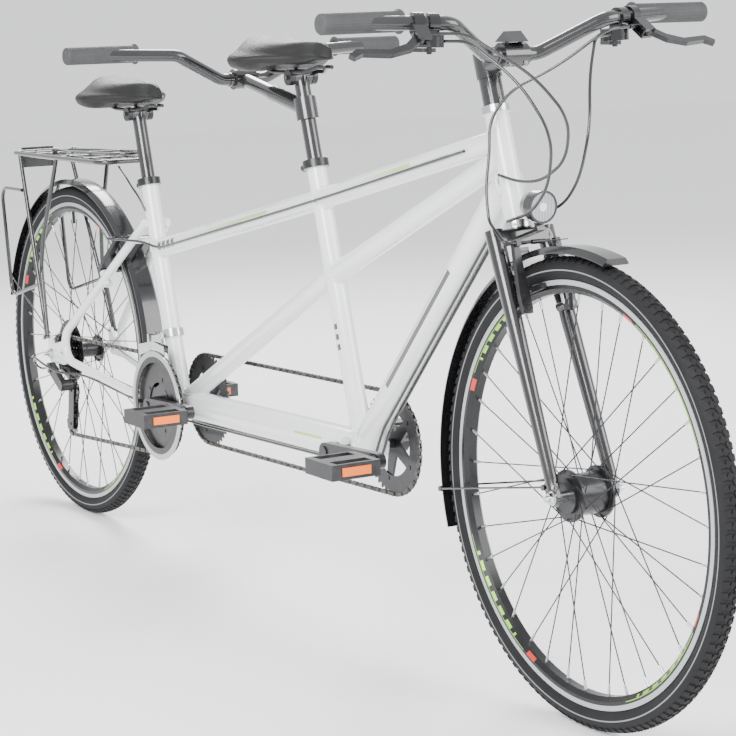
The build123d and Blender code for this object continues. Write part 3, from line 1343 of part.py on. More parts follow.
brake_line = [top_at_captain + top_way * 500 + Vector(0, side_y, -4),
              top_at_captain + Vector(0, side_y, -4),
              top_at_stoker + Vector(40, side_y, 5),
              top_at_stoker + Vector(-8, side_y - 14, 16),
              noodle_mouth(rear_brake_place, 1, 24), noodle_mouth(rear_brake_place, 1, 1.0)]
lamp_line = [at(380, -20.2, 676), at(366, -26, 702), at(341, -30, 722), at(304, -28, 745),
             at(rack_front + 7, -24, deck_z - 9)]
down_way = (down_end - down_start).normalized()
cable_side = 7.0
cable_drop = ((down_tube_r + cable_r + seat_gap) ** 2 - cable_side ** 2) ** 0.5
down_under = Vector(down_way.Z, 0, -down_way.X) * cable_drop


def under_line(y, tail):
    start = down_start + down_way * 560 + down_under + Vector(0, y, 0)
    knee = down_start + down_way * 78 + down_under + Vector(0, y, 0)
    low = captain_bb + Vector(-70, y, -boom_tube_r - cable_r - 3)
    far = stoker_bb + Vector(66, y, -boom_tube_r - cable_r - 0.8)
    return [start, knee, captain_bb + Vector(44, y, -14), captain_bb + Vector(12, y, -38),
            low, far] + tail


gear_line = under_line(-cable_side, [stoker_bb + Vector(4, -9, -bb_shell_r - cable_r - 4),
                            at(412, -31, 286), at(325, -41.5, 295.4), at(180, -54.5, 314.0),
                            at(122, -63, 320), at(70, -88, 318), at(10, -99, 331),
                            at(-36, -98, 340), at(-58, -90, 324), at(-40, -82.5, 313),
                            Vector(hanger_place[0] - knuckle_r - 0.6, -81, hanger_place[1] - 2)])
mech_line = under_line(cable_side, [stoker_bb + Vector(20, 8, -bb_shell_r - cable_r - 4)])
save("frame_cables", [cord(brake_line, cable_r), cord(gear_line, cable_r),
                      cord(mech_line, cable_r), cord(lamp_line, cable_r - 0.4)])



def lever_mouth(side, beyond):
    """A point on the line on which a housing leaves a brake lever's barrel."""
    spot = left_lever * Pos(-45 - beyond, -24, 0)
    return Vector(spot.position.X, side * spot.position.Y, spot.position.Z)


def pod_mouth(side, beyond):
    """A point on the line on which a housing leaves a shifter."""
    spot = left_grip * Pos(-64.2 - beyond, 2, -26)
    return Vector(spot.position.X, side * spot.position.Y, spot.position.Z)


front_brake_line = [lever_mouth(LEFT, 0), lever_mouth(LEFT, 48), at(1687, 62, 976),
                    at(1640, 4, 940), at(1630, -28, 896), at(1640, -36, 848),
                    at(1646, -48, 796), noodle_mouth(front_brake_place, -1, 24),
                    noodle_mouth(front_brake_place, -1, 1.0)]
rear_brake_line = [lever_mouth(RIGHT, 0), lever_mouth(RIGHT, 44), at(1800, -62, 966),
                   at(1842, -32, 905), at(1822, -24, 845), at(1762, -24, 812), at(1706, -26, 806),
                   at(1650, -27, 814)]
left_shift_line = [pod_mouth(LEFT, 0), pod_mouth(LEFT, 34), at(1752, 70, 960), at(1790, 42, 888),
                   at(1776, 32, 812), at(1730, 34, 768), at(1668, 30, 752)]
right_shift_line = [pod_mouth(RIGHT, 0), pod_mouth(RIGHT, 36), at(1776, -72, 958),
                    at(1822, -48, 880), at(1802, -42, 806), at(1750, -38, 764),
                    at(1678, -32, 746)]
save("steering_cables", [cord(front_brake_line, cable_r), cord(rear_brake_line, cable_r),
                         cord(left_shift_line, cable_r), cord(right_shift_line, cable_r)])
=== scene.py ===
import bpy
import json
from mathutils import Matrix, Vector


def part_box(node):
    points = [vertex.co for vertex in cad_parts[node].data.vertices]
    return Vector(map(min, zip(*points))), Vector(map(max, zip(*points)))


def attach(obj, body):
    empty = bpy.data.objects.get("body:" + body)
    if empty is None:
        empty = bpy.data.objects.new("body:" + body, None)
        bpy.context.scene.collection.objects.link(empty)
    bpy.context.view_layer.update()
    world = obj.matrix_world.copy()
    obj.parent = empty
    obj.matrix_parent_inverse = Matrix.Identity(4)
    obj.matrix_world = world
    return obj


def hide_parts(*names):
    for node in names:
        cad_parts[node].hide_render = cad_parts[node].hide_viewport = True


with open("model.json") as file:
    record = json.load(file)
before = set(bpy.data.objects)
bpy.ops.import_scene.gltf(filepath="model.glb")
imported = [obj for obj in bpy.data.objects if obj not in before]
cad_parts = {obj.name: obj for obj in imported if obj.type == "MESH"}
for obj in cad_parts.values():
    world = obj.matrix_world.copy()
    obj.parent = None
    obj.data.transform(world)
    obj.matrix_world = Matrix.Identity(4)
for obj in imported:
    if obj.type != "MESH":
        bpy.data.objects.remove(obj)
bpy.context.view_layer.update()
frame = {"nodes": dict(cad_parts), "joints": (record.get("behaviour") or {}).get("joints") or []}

import json
from math import asin, atan2, cos, hypot, pi, radians, sin

import bmesh
import bpy
from mathutils import Matrix, Vector

nodes = frame["nodes"]
joint = {one["name"]: one for one in frame["joints"]}
up = Vector((0, 0, 1))
side_way = Vector((0, 1, 0))

# ---- camera ------------------------------------------------------------------------
# The camera stands ahead of the bicycle on its right, at about a rider's chest, and
# looks back along it with a long lens.
camera_at = Vector((3.653, -1.977, 1.086))
heading, fall, lean = radians(149.97), radians(6.18), radians(1.55)
forward = Vector((cos(heading) * cos(fall), sin(heading) * cos(fall), -sin(fall)))
level = forward.cross(up).normalized()
drop = forward.cross(level)
turned_right = level * cos(lean) + drop * sin(lean)
turned_up = level * sin(lean) - drop * cos(lean)
lens = bpy.data.cameras.new("camera")
lens.sensor_width = 36.0
lens.lens = 113.8
lens.shift_x, lens.shift_y = 0.028, -0.161
camera = bpy.data.objects.new("camera", lens)
turn = Matrix((turned_right, turned_up, -forward)).transposed()
camera.matrix_world = Matrix.Translation(camera_at) @ turn.to_4x4()
bpy.context.scene.collection.objects.link(camera)
bpy.context.scene.camera = camera

# ---- floor and light ---------------------------------------------------------------
# A plain pale studio: one large floor, a pale surround and three soft lamps, the
# strongest of them on the drive side.
floor_half = 14.0
plane = bmesh.new()
bmesh.ops.create_grid(plane, x_segments=1, y_segments=1, size=floor_half)
floor_mesh = bpy.data.meshes.new("floor")
plane.to_mesh(floor_mesh)
plane.free()
floor = bpy.data.objects.new("floor", floor_mesh)
bpy.context.scene.collection.objects.link(floor)
floor_look = bpy.data.materials.new("floor")
floor_look.use_nodes = True
floor_look.node_tree.nodes["Principled BSDF"].inputs["Base Color"].default_value = (0.96, 0.96, 0.96, 1)
floor_look.node_tree.nodes["Principled BSDF"].inputs["Roughness"].default_value = 0.6
floor_mesh.materials.append(floor_look)

world = bpy.data.worlds.new("studio")
world.use_nodes = True
world.node_tree.nodes["Background"].inputs["Color"].default_value = (0.97, 0.98, 1.0, 1)
world.node_tree.nodes["Background"].inputs["Strength"].default_value = 1.3
bpy.context.scene.world = world


def lamp(name, place, aim, power, width):
    """A square soft lamp that looks at a point."""
    light = bpy.data.lights.new(name, "AREA")
    light.energy = power
    light.size = width
    holder = bpy.data.objects.new(name, light)
    way = (Vector(aim) - Vector(place)).to_track_quat("-Z", "Y")
    holder.matrix_world = Matrix.Translation(place) @ way.to_matrix().to_4x4()
    bpy.context.scene.collection.objects.link(holder)


lamp("key", (2.6, -3.6, 3.2), (0, 0, 0.5), 400, 2.4)
lamp("fill", (3.6, 2.6, 2.2), (0, 0, 0.6), 150, 2.5)
lamp("back", (-3.2, 1.5, 3.4), (0, 0, 0.6), 240, 2.0)

# ---- paint of the frame ------------------------------------------------------------
# The frame is welded aluminium tube under white pearl paint and a clear coat, with thin
# printed bands on the tubes.  The first helpers for finishes are defined here.


def new_group(name, numbers, results):
    """An empty node group with its number inputs and value outputs."""
    tree = bpy.data.node_groups.new(name, "ShaderNodeTree")
    for label, value in numbers:
        socket = tree.interface.new_socket(label, in_out="INPUT", socket_type="NodeSocketFloat")
        socket.default_value = value
    for label in results:
        tree.interface.new_socket(label, in_out="OUTPUT", socket_type="NodeSocketFloat")
    return tree, tree.nodes.new("NodeGroupInput"), tree.nodes.new("NodeGroupOutput")


grain, grain_in, grain_out = new_group("fine grain", [("Scale", 400.0)], ["Height"])
grain_place = grain.nodes.new("ShaderNodeTexCoord")
grain_noise = grain.nodes.new("ShaderNodeTexNoise")
grain_noise.inputs["Detail"].default_value = 3.0
grain.links.new(grain_place.outputs["Object"], grain_noise.inputs["Vector"])
grain.links.new(grain_in.outputs["Scale"], grain_noise.inputs["Scale"])
grain.links.new(grain_noise.outputs["Fac"], grain_out.inputs["Height"])

rubbed, rub_in, rub_out = new_group("rubbed patches", [("Scale", 14.0), ("Amount", 0.3)], ["Mask"])
rub_place = rubbed.nodes.new("ShaderNodeTexCoord")
rub_noise = rubbed.nodes.new("ShaderNodeTexNoise")
rub_noise.inputs["Detail"].default_value = 6.0
rub_noise.inputs["Roughness"].default_value = 0.65
rub_range = rubbed.nodes.new("ShaderNodeMapRange")
rub_range.inputs["From Min"].default_value = 0.42
rub_range.inputs["From Max"].default_value = 0.72
rubbed.links.new(rub_place.outputs["Object"], rub_noise.inputs["Vector"])
rubbed.links.new(rub_in.outputs["Scale"], rub_noise.inputs["Scale"])
rubbed.links.new(rub_noise.outputs["Fac"], rub_range.inputs["Value"])
rubbed.links.new(rub_in.outputs["Amount"], rub_range.inputs["To Max"])
rubbed.links.new(rub_range.outputs["Result"], rub_out.inputs["Mask"])


class Finish:
    """A material with a fine grain, and a second colour and gloss where it is rubbed."""

    def __init__(self, name, colour, worn, rough, worn_rough, grain_scale, grain_depth,
                 rub=(14.0, 0.4), metal=0.0, coat=0.0, shine=0.5):
        self.material = bpy.data.materials.new(name)
        self.material.use_nodes = True
        tree = self.material.node_tree
        self.nodes, self.links = tree.nodes, tree.links
        self.shader = self.nodes["Principled BSDF"]
        self.shader.inputs["Metallic"].default_value = metal
        self.shader.inputs["Coat Weight"].default_value = coat
        self.shader.inputs["Specular IOR Level"].default_value = shine
        self.shader.inputs["Coat Roughness"].default_value = 0.06
        self.place = self.nodes.new("ShaderNodeTexCoord").outputs["Object"]
        patches = self.nodes.new("ShaderNodeGroup")
        patches.node_tree = rubbed
        patches.inputs["Scale"].default_value = rub[0]
        patches.inputs["Amount"].default_value = rub[1]
        self.colour, self.rough = (*colour, 1), rough
        self.over(patches.outputs["Mask"], worn, worn_rough)
        fine = self.nodes.new("ShaderNodeGroup")
        fine.node_tree = grain
        fine.inputs["Scale"].default_value = grain_scale
        bump = self.nodes.new("ShaderNodeBump")
        bump.inputs["Strength"].default_value = 1.0
        bump.inputs["Distance"].default_value = grain_depth
        self.links.new(fine.outputs["Height"], bump.inputs["Height"])
        self.links.new(bump.outputs["Normal"], self.shader.inputs["Normal"])

    def feed(self, value, socket):
        """Sets a socket to a constant, or links another socket to it."""
        if isinstance(value, (int, float, tuple)):
            socket.default_value = value
        else:
            self.links.new(value, socket)

    def math(self, kind, first, second):
        """One step of arithmetic on values or sockets."""
        step = self.nodes.new("ShaderNodeMath")
        step.operation = kind
        self.feed(first, step.inputs[0])
        self.feed(second, step.inputs[1])
        return step.outputs[0]

    def over(self, mask, colour, rough):
        """Lays another colour and gloss over what is there, where the mask is 1."""
        mix = self.nodes.new("ShaderNodeMix")
        mix.data_type = "RGBA"
        mix.inputs[7].default_value = (*colour, 1)
        self.links.new(mask, mix.inputs[0])
        self.feed(self.colour, mix.inputs[6])
        self.colour = mix.outputs[2]
        blend = self.nodes.new("ShaderNodeMix")
        blend.inputs[3].default_value = rough
        self.links.new(mask, blend.inputs[0])
        self.feed(self.rough, blend.inputs[2])
        self.rough = blend.outputs[0]
        self.links.new(self.colour, self.shader.inputs["Base Color"])
        self.links.new(self.rough, self.shader.inputs["Roughness"])

    def along(self, origin, way):
        """How far a point lies from an origin along a direction, in metres."""
        away = self.nodes.new("ShaderNodeVectorMath")
        away.operation = "SUBTRACT"
        away.inputs[1].default_value = origin
        self.links.new(self.place, away.inputs[0])
        dot = self.nodes.new("ShaderNodeVectorMath")
        dot.operation = "DOT_PRODUCT"
        dot.inputs[1].default_value = way
        self.links.new(away.outputs[0], dot.inputs[0])
        return dot.outputs["Value"]

    def within(self, value, low, high):
        """1 between two values and 0 outside them."""
        step = self.nodes.new("ShaderNodeMath")
        step.operation = "COMPARE"
        self.feed(value, step.inputs[0])
        step.inputs[1].default_value = (low + high) / 2
        step.inputs[2].default_value = (high - low) / 2
        return step.outputs[0]

    def both(self, *masks):
        result = masks[0]
        for mask in masks[1:]:
            result = self.math("MULTIPLY", result, mask)
        return result

    def about(self, centre):
        """The distance from a crosswise line, and the angle round it as a share of a turn."""
        ahead = self.along(centre, (1, 0, 0))
        above = self.along(centre, (0, 0, 1))
        far = self.math("SQRT", self.math("ADD", self.math("MULTIPLY", ahead, ahead),
                                          self.math("MULTIPLY", above, above)), 0.0)
        turn_share = self.math("DIVIDE", self.math("ARCTAN2", above, ahead), 2 * pi)
        return far, self.math("FRACT", self.math("ADD", turn_share, 1.0), 0.0)

    def cover(self, *names):
        """Gives the finish to CAD nodes or new pieces."""
        for name in names:
            mesh = (nodes[name] if name in nodes else bpy.data.objects[name]).data
            mesh.materials.clear()
            mesh.materials.append(self.material)


captain_crank = Vector(joint["captain_crank_spin"]["pos_m"])
stoker_crank = Vector(joint["stoker_crank_spin"]["pos_m"])
captain_up = Vector(joint["captain_post_height"]["axis"]).normalized()
stoker_up = Vector(joint["stoker_post_height"]["axis"]).normalized()
steer_foot = Vector(joint["steering_turn"]["pos_m"])
steer_up = Vector(joint["steering_turn"]["axis"]).normalized()


def up_seat(crank, way, height):
    """The point of a seat tube's line at a height."""
    return crank + way * ((height - crank.z) / way.z)


top_tube_along, diagonal_along, down_tube_along = 0.550, 0.522, 0.483
head_top_joint = steer_foot + steer_up * top_tube_along
head_mid_joint = steer_foot + steer_up * diagonal_along
head_low_joint = steer_foot + steer_up * down_tube_along
top_joint = up_seat(captain_crank, captain_up, 0.740)
rear_top_joint = up_seat(stoker_crank, stoker_up, 0.601)
mid_joint = up_seat(captain_crank, captain_up, 0.611)

white = Finish("frame_paint", (0.80, 0.81, 0.82), (0.72, 0.73, 0.75), 0.22, 0.30, 900.0, 0.00003,
               rub=(5.0, 0.5), coat=1.0)


def printed_band(start, end, across_low, across_high, from_start, to_start, colour, fade=0.0):
    """A printed stripe along a tube, between two heights on its side."""
    way = (end - start).normalized()
    normal = Vector((-way.z, 0, way.x))
    if normal.z < 0:
        normal = -normal
    run = white.along(start, way)
    mask = white.both(white.within(run, from_start, to_start),
                      white.within(white.along(start, normal), across_low, across_high))
    if fade:
        soft = white.nodes.new("ShaderNodeMapRange")
        soft.inputs["From Min"].default_value = from_start
        soft.inputs["From Max"].default_value = from_start + fade
        white.links.new(run, soft.inputs["Value"])
        mask = white.both(mask, soft.outputs["Result"])
    white.over(mask, colour, 0.24)


lime, slate, dark_print = (0.42, 0.62, 0.16), (0.36, 0.38, 0.36), (0.05, 0.05, 0.055)
printed_band(top_joint, head_top_joint, 0.001, 0.007, 0.10, 0.33, lime, 0.20)
printed_band(top_joint, head_top_joint, -0.006, 0.0005, 0.16, 0.45, slate, 0.25)
printed_band(rear_top_joint, top_joint, 0.001, 0.007, 0.16, 0.50, lime, 0.25)
printed_band(rear_top_joint, top_joint, -0.006, 0.0005, 0.10, 0.40, slate, 0.20)
for step in range(4):
    printed_band(rear_top_joint, top_joint, -0.007, 0.009, 0.030 + 0.020 * step,
                 0.044 + 0.020 * step, dark_print)
printed_band(captain_crank, head_low_joint, -0.005, 0.004, 0.17, 0.46, dark_print)
printed_band(captain_crank, head_low_joint, 0.008, 0.010, 0.17, 0.46, slate)
printed_band(stoker_crank, captain_crank, 0.004, 0.008, 0.50, 0.60, lime)
for step in range(3):
    printed_band(captain_crank, top_joint, -0.006, 0.006, 0.17 + 0.018 * step,
                 0.180 + 0.018 * step, dark_print)
white.cover("frame_tubes", "seat_tubes", "rear_triangle")

# ---- weld beads --------------------------------------------------------------------
# Each tube is welded round its coped end, and the bead stays visible under the paint as
# a fine ripple that follows the line where the two tubes meet.
bead_r = 0.0026


def linked(name, mesh, body, look, slot, *replaced):
    """Makes a finished mesh into a piece that rides on a body."""
    thing = bpy.data.objects.new(name, mesh)
    bpy.context.scene.collection.objects.link(thing)
    look.cover(name)
    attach(thing, body)
    if replaced:
        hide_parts(*replaced)
    return thing


def meeting_line(start, end, r, other, other_way, other_r, steps=64):
    """Points round a tube's start where its skin meets a second tube."""
    way = (end - start).normalized()
    first = way.cross(side_way).normalized()
    points = []
    for i in range(steps):
        a = 2 * pi * i / steps
        skin = start + (first * cos(a) + side_way * sin(a)) * r - other
        flat = skin - other_way * skin.dot(other_way)
        slope = way - other_way * way.dot(other_way)
        qa, qb, qc = slope.dot(slope), 2 * flat.dot(slope), flat.dot(flat) - other_r ** 2
        root = max(qb * qb - 4 * qa * qc, 0.0) ** 0.5
        points.append(other + skin + way * ((-qb + root) / (2 * qa)))
    return points


def tube_mesh(name, points, r, closed=False, sides=2, ripple=0.0):
    """A round cord through points, as a mesh."""
    curve = bpy.data.curves.new(name, "CURVE")
    curve.dimensions = "3D"
    curve.bevel_depth = r
    curve.bevel_resolution = sides
    curve.use_fill_caps = True
    line = curve.splines.new("POLY")
    line.points.add(len(points) - 1)
    for i, point in enumerate(points):
        line.points[i].co = (*point, 1)
        line.points[i].radius = 1 + ripple * (i % 2)
    line.use_cyclic_u = closed
    holder = bpy.data.objects.new(name, curve)
    mesh = bpy.data.meshes.new_from_object(holder)
    bpy.data.objects.remove(holder)
    return mesh


boom_way = (captain_crank - stoker_crank).normalized()
top_r, diagonal_r, down_r, boom_r = 0.018, 0.0175, 0.024, 0.028
seat_r, head_r, shell_r = 0.01745, 0.019, 0.025
bead_rows = [
    ("top_tube_head_weld", head_top_joint, top_joint, top_r, steer_foot, steer_up, head_r),
    ("diagonal_head_weld", head_mid_joint, mid_joint, diagonal_r, steer_foot, steer_up, head_r),
    ("down_tube_head_weld", head_low_joint, captain_crank, down_r, steer_foot, steer_up, head_r),
    ("top_tube_seat_weld", top_joint, head_top_joint, top_r, captain_crank, captain_up, seat_r),
    ("top_tube_rear_weld", top_joint, rear_top_joint, top_r, captain_crank, captain_up, seat_r),
    ("diagonal_seat_weld", mid_joint, head_mid_joint, diagonal_r, captain_crank, captain_up, seat_r),
    ("diagonal_rear_weld", mid_joint, stoker_crank, diagonal_r, captain_crank, captain_up, seat_r),
    ("rear_top_tube_weld", rear_top_joint, top_joint, top_r, stoker_crank, stoker_up, seat_r),
    ("down_tube_shell_weld", captain_crank, head_low_joint, down_r, captain_crank, side_way, shell_r),
    ("seat_tube_shell_weld", captain_crank, top_joint, seat_r, captain_crank, side_way, shell_r),
    ("stoker_tube_shell_weld", stoker_crank, rear_top_joint, seat_r, stoker_crank, side_way,
     shell_r),
    ("diagonal_boom_weld", stoker_crank, mid_joint, diagonal_r, stoker_crank, boom_way, boom_r),
]
for name, start, end, r, other, other_way, other_r in bead_rows:
    ring = meeting_line(start, end, r, other, other_way, other_r, 96)
    linked(name, tube_mesh(name, ring, bead_r, closed=True, ripple=0.22), "frame", white,
           "frame_paint")

# ---- tyres -------------------------------------------------------------------------
# Black rubber on a woven casing, moulded with four rows of small tread blocks and a grey
# reflecting line on each side.  Each is one ring that stays on its rim.
wheel_turns = {"front": Vector(joint["front_wheel_spin"]["pos_m"]),
               "rear": Vector(joint["rear_wheel_spin"]["pos_m"])}
outside_r = (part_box("front_tyre")[1].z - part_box("front_tyre")[0].z) / 2
casing_r = 0.0176
casing_wall = 0.0040
casing_middle = outside_r - 0.0195
bead_half, bead_height = 0.0100, outside_r - 0.0395
block_rows = [(-38, 0.0085, 0.0095, 12), (-12, 0.0066, 0.0100, -24),
              (12, 0.0066, 0.0100, 24), (38, 0.0085, 0.0095, -12)]
blocks_round = 132


def closed_loop(bm, points):
    """Edges through points (y, r), set down in the plane above the wheel's middle."""
    corners = [bm.verts.new((0, y, r)) for y, r in points]
    return corners + [bm.edges.new((corners[i], corners[(i + 1) % len(corners)]))
                      for i in range(len(corners))]


def spun(points, steps):
    """A ring turned about the crosswise axis from a closed section."""
    bm = bmesh.new()
    geometry = closed_loop(bm, points)
    bmesh.ops.spin(bm, geom=geometry, cent=(0, 0, 0), axis=(0, 1, 0), angle=2 * pi,
                   steps=steps, use_merge=True)
    bmesh.ops.recalc_face_normals(bm, faces=bm.faces)
    for face in bm.faces:
        face.smooth = True
    return bm


def into_mesh(bm, name):
    mesh = bpy.data.meshes.new(name)
    bm.to_mesh(mesh)
    bm.free()
    return mesh


def tyre_mesh(name, centre):
    outer = [(casing_r * sin(radians(a)), casing_middle + casing_r * cos(radians(a)))
             for a in range(-136, 137, 16)]
    inner = [((casing_r - casing_wall) * sin(radians(a)),
              casing_middle + (casing_r - casing_wall) * cos(radians(a)))
             for a in range(136, -137, -34)]
    section = outer + [(bead_half, bead_height)] + inner + [(-bead_half, bead_height)]
    bm = spun(section, 160)
    for angle, wide, long, skew in block_rows:
        for i in range(blocks_round):
            turn_by = 2 * pi * (i + (0.5 if angle > 0 else 0.0)) / blocks_round
            place = (Matrix.Rotation(turn_by, 4, "Y")
                     @ Matrix.Translation((0, 0, casing_middle))
                     @ Matrix.Rotation(radians(-angle), 4, "X")
                     @ Matrix.Translation((0, 0, casing_r + 0.0006))
                     @ Matrix.Rotation(radians(skew), 4, "Z")
                     @ Matrix.Diagonal((long, wide, 0.0021, 1)))
            bmesh.ops.create_cube(bm, size=1.0, matrix=place)
    bmesh.ops.translate(bm, verts=bm.verts, vec=centre)
    return into_mesh(bm, name)


rubber = Finish("tyre_rubber", (0.010, 0.010, 0.011), (0.022, 0.022, 0.021), 0.62, 0.78, 1500.0,
                0.00012, rub=(30.0, 0.4), shine=0.22)
for turning in wheel_turns.values():
    far, _ = rubber.about(turning)
    near_wheel = rubber.within(rubber.along(turning, (1, 0, 0)), -0.40, 0.40)
    stripe = rubber.both(rubber.within(far, casing_middle - 0.0010, casing_middle + 0.0010),
                         near_wheel)
    rubber.over(stripe, (0.20, 0.205, 0.21), 0.35)
for end in ("front", "rear"):
    linked(end + "_tyre_with_tread", tyre_mesh(end + "_tyre_with_tread", wheel_turns[end]),
           end + "_wheel", rubber, "tyre_rubber", end + "_tyre")

# ---- rims --------------------------------------------------------------------------
# Extruded aluminium, anodised black, with the two braking faces turned bright, thin
# printed arcs on the black part and a small red patch near the valve.
rim_edge = outside_r - 0.034
rim = Finish("rim_alloy", (0.008, 0.008, 0.009), (0.025, 0.025, 0.025), 0.26, 0.42, 600.0, 0.00004,
             rub=(25.0, 0.3), metal=0.3)
lime_print = (0.30, 0.62, 0.06)
for turning in wheel_turns.values():
    far, share = rim.about(turning)
    near_wheel = rim.within(rim.along(turning, (1, 0, 0)), -0.40, 0.40)
    track = rim.both(rim.within(far, rim_edge - 0.0075, rim_edge + 0.0005), near_wheel)
    rim.over(track, (0.42, 0.43, 0.44), 0.28)
    turned_lines = rim.within(rim.math("FRACT", rim.math("MULTIPLY", far, 1400.0), 0.0), 0.0, 0.3)
    rim.over(rim.both(track, turned_lines), (0.32, 0.33, 0.34), 0.36)
    on_side = rim.within(far, rim_edge - 0.0165, rim_edge - 0.0125)
    sector = rim.math("FRACT", rim.math("MULTIPLY", share, 4.0), 0.0)
    arcs = rim.within(sector, 0.30, 0.62)
    dashes = rim.within(rim.math("FRACT", rim.math("MULTIPLY", share, 72.0), 0.0), 0.0, 0.62)
    rim.over(rim.both(on_side, arcs, dashes, near_wheel), lime_print, 0.30)
    thin = rim.within(far, rim_edge - 0.0118, rim_edge - 0.0108)
    rim.over(rim.both(thin, rim.within(sector, 0.24, 0.68), near_wheel), lime_print, 0.30)
    patch = rim.within(sector, 0.70, 0.745)
    rim.over(rim.both(rim.within(far, rim_edge - 0.0175, rim_edge - 0.0115), patch, near_wheel),
             (0.65, 0.03, 0.02), 0.30)
rim.cover("front_rim", "rear_rim")

# ---- spokes, hubs, axles and sprockets ---------------------------------------------
# Black stainless spokes with bright nipples, a black dynamo hub, a black rear hub, and
# oiled steel sprockets with bright nuts outside the dropouts.
spoke_steel = Finish("spoke_steel", (0.03, 0.03, 0.032), (0.10, 0.10, 0.10), 0.28, 0.40, 900.0,
                     0.00002, metal=0.8)
for turning in wheel_turns.values():
    far, _ = spoke_steel.about(turning)
    near_wheel = spoke_steel.within(spoke_steel.along(turning, (1, 0, 0)), -0.40, 0.40)
    ends = spoke_steel.both(spoke_steel.within(far, rim_edge - 0.036, rim_edge), near_wheel)
    spoke_steel.over(ends, (0.55, 0.56, 0.57), 0.25)
spoke_steel.cover("front_spokes", "rear_spokes")
black_alloy = Finish("black_alloy", (0.020, 0.020, 0.022), (0.055, 0.055, 0.058), 0.30, 0.46,
                     700.0, 0.00005, rub=(40.0, 0.55), metal=0.55, coat=0.2)
black_alloy.cover("dynamo_hub", "rear_hub", "captain_crankset", "stoker_crankset",
                  "front_brake_arm_left", "front_brake_arm_right", "rear_brake_arm_left",
                  "rear_brake_arm_right", "rear_derailleur_arm", "rear_derailleur_cage",
                  "seat_clamps", "captain_saddle_rails", "stoker_saddle_rails")
bright = Finish("bright_steel", (0.66, 0.67, 0.68), (0.45, 0.45, 0.45), 0.18, 0.34, 500.0,
                0.00003, rub=(60.0, 0.5), metal=1.0)
bright.cover("front_axle", "rear_axle", "derailleur_mounts", "front_derailleur_cage",
             "bearing_cups")
oiled = Finish("dark_steel", (0.11, 0.105, 0.10), (0.035, 0.030, 0.026), 0.26, 0.5, 800.0,
               0.00004, rub=(70.0, 0.8), metal=1.0)
oiled.cover("freewheel")

# ---- chainrings --------------------------------------------------------------------
# Pressed steel rings bolted to the black crank: dark discs, with bright worn steel round
# the outside of the largest and of the guard.
ring_steel = Finish("ring_steel", (0.05, 0.05, 0.052), (0.12, 0.115, 0.11), 0.30, 0.45, 700.0,
                    0.00004, rub=(50.0, 0.6), metal=0.9)
far, _ = ring_steel.about(stoker_crank)
ring_steel.over(ring_steel.within(far, 0.0960, 0.110), (0.46, 0.47, 0.47), 0.24)
ring_steel.cover("chainrings")

# ---- chains ------------------------------------------------------------------------
# Half-inch roller chain: outer and inner plates by turns on pins and rollers.  The drive
# chain runs over the rings, a sprocket and both jockeys; the other joins the two cranks.
half_inch = 0.0127
plate_r = 0.0041
plate_thick = 0.0010
roller_r = 0.0038


def pitch_radius(teeth):
    return half_inch / (2 * sin(pi / teeth))


def chain_way(circles):
    """Straight runs and arcs of a chain round circles (x, z, r) as (length, place) steps."""
    runs = []
    for i, (x1, z1, r1) in enumerate(circles):
        x2, z2, r2 = circles[(i + 1) % len(circles)]
        tilt = atan2(z2 - z1, x2 - x1) - asin((r2 - r1) / hypot(x2 - x1, z2 - z1))
        nx, nz = -sin(tilt), cos(tilt)
        runs.append(((x1 - r1 * nx, z1 - r1 * nz), (x2 - r2 * nx, z2 - r2 * nz)))
    way = []
    for i, (begin, end) in enumerate(runs):
        length = hypot(end[0] - begin[0], end[1] - begin[1])
        way.append((length, "run", begin, end))
        x, z, r = circles[(i + 1) % len(circles)]
        leave = runs[(i + 1) % len(runs)][0]
        a0 = atan2(end[1] - z, end[0] - x)
        a1 = atan2(leave[1] - z, leave[0] - x)
        if r > 0 and a1 < a0:
            a1 += 2 * pi
        if r < 0 and a1 > a0:
            a1 -= 2 * pi
        way.append((abs(r * (a1 - a0)), "arc", (x, z, abs(r)), (a0, a1)))
    return way


def on_way(way, distance):
    """The point (x, z) at a distance along a chain's way."""
    for length, kind, first, second in way:
        if distance <= length:
            share = distance / length
            if kind == "run":
                return (first[0] + (second[0] - first[0]) * share,
                        first[1] + (second[1] - first[1]) * share)
            a = second[0] + (second[1] - second[0]) * share
            return first[0] + first[2] * cos(a), first[1] + first[2] * sin(a)
        distance -= length
    return on_way(way, 0.0)


def link_plate(bm, place, y):
    """One waisted side plate between two pins, laid in the chain's own plane."""
    made = bmesh.ops.create_circle(bm, cap_ends=True, segments=14, radius=plate_r)["verts"]
    for v in made:
        if abs(v.co.x) < 0.0003:
            v.co.y *= 0.75
        else:
            v.co.x += half_inch / 2 if v.co.x > 0 else -half_inch / 2
    face = made[0].link_faces[0]
    pushed = bmesh.ops.extrude_face_region(bm, geom=[face])["geom"]
    top = [v for v in pushed if isinstance(v, bmesh.types.BMVert)]
    bmesh.ops.translate(bm, verts=top, vec=(0, 0, plate_thick))
    bmesh.ops.transform(bm, verts=made + top,
                        matrix=place @ Matrix.Translation((0, 0, y - plate_thick / 2)))


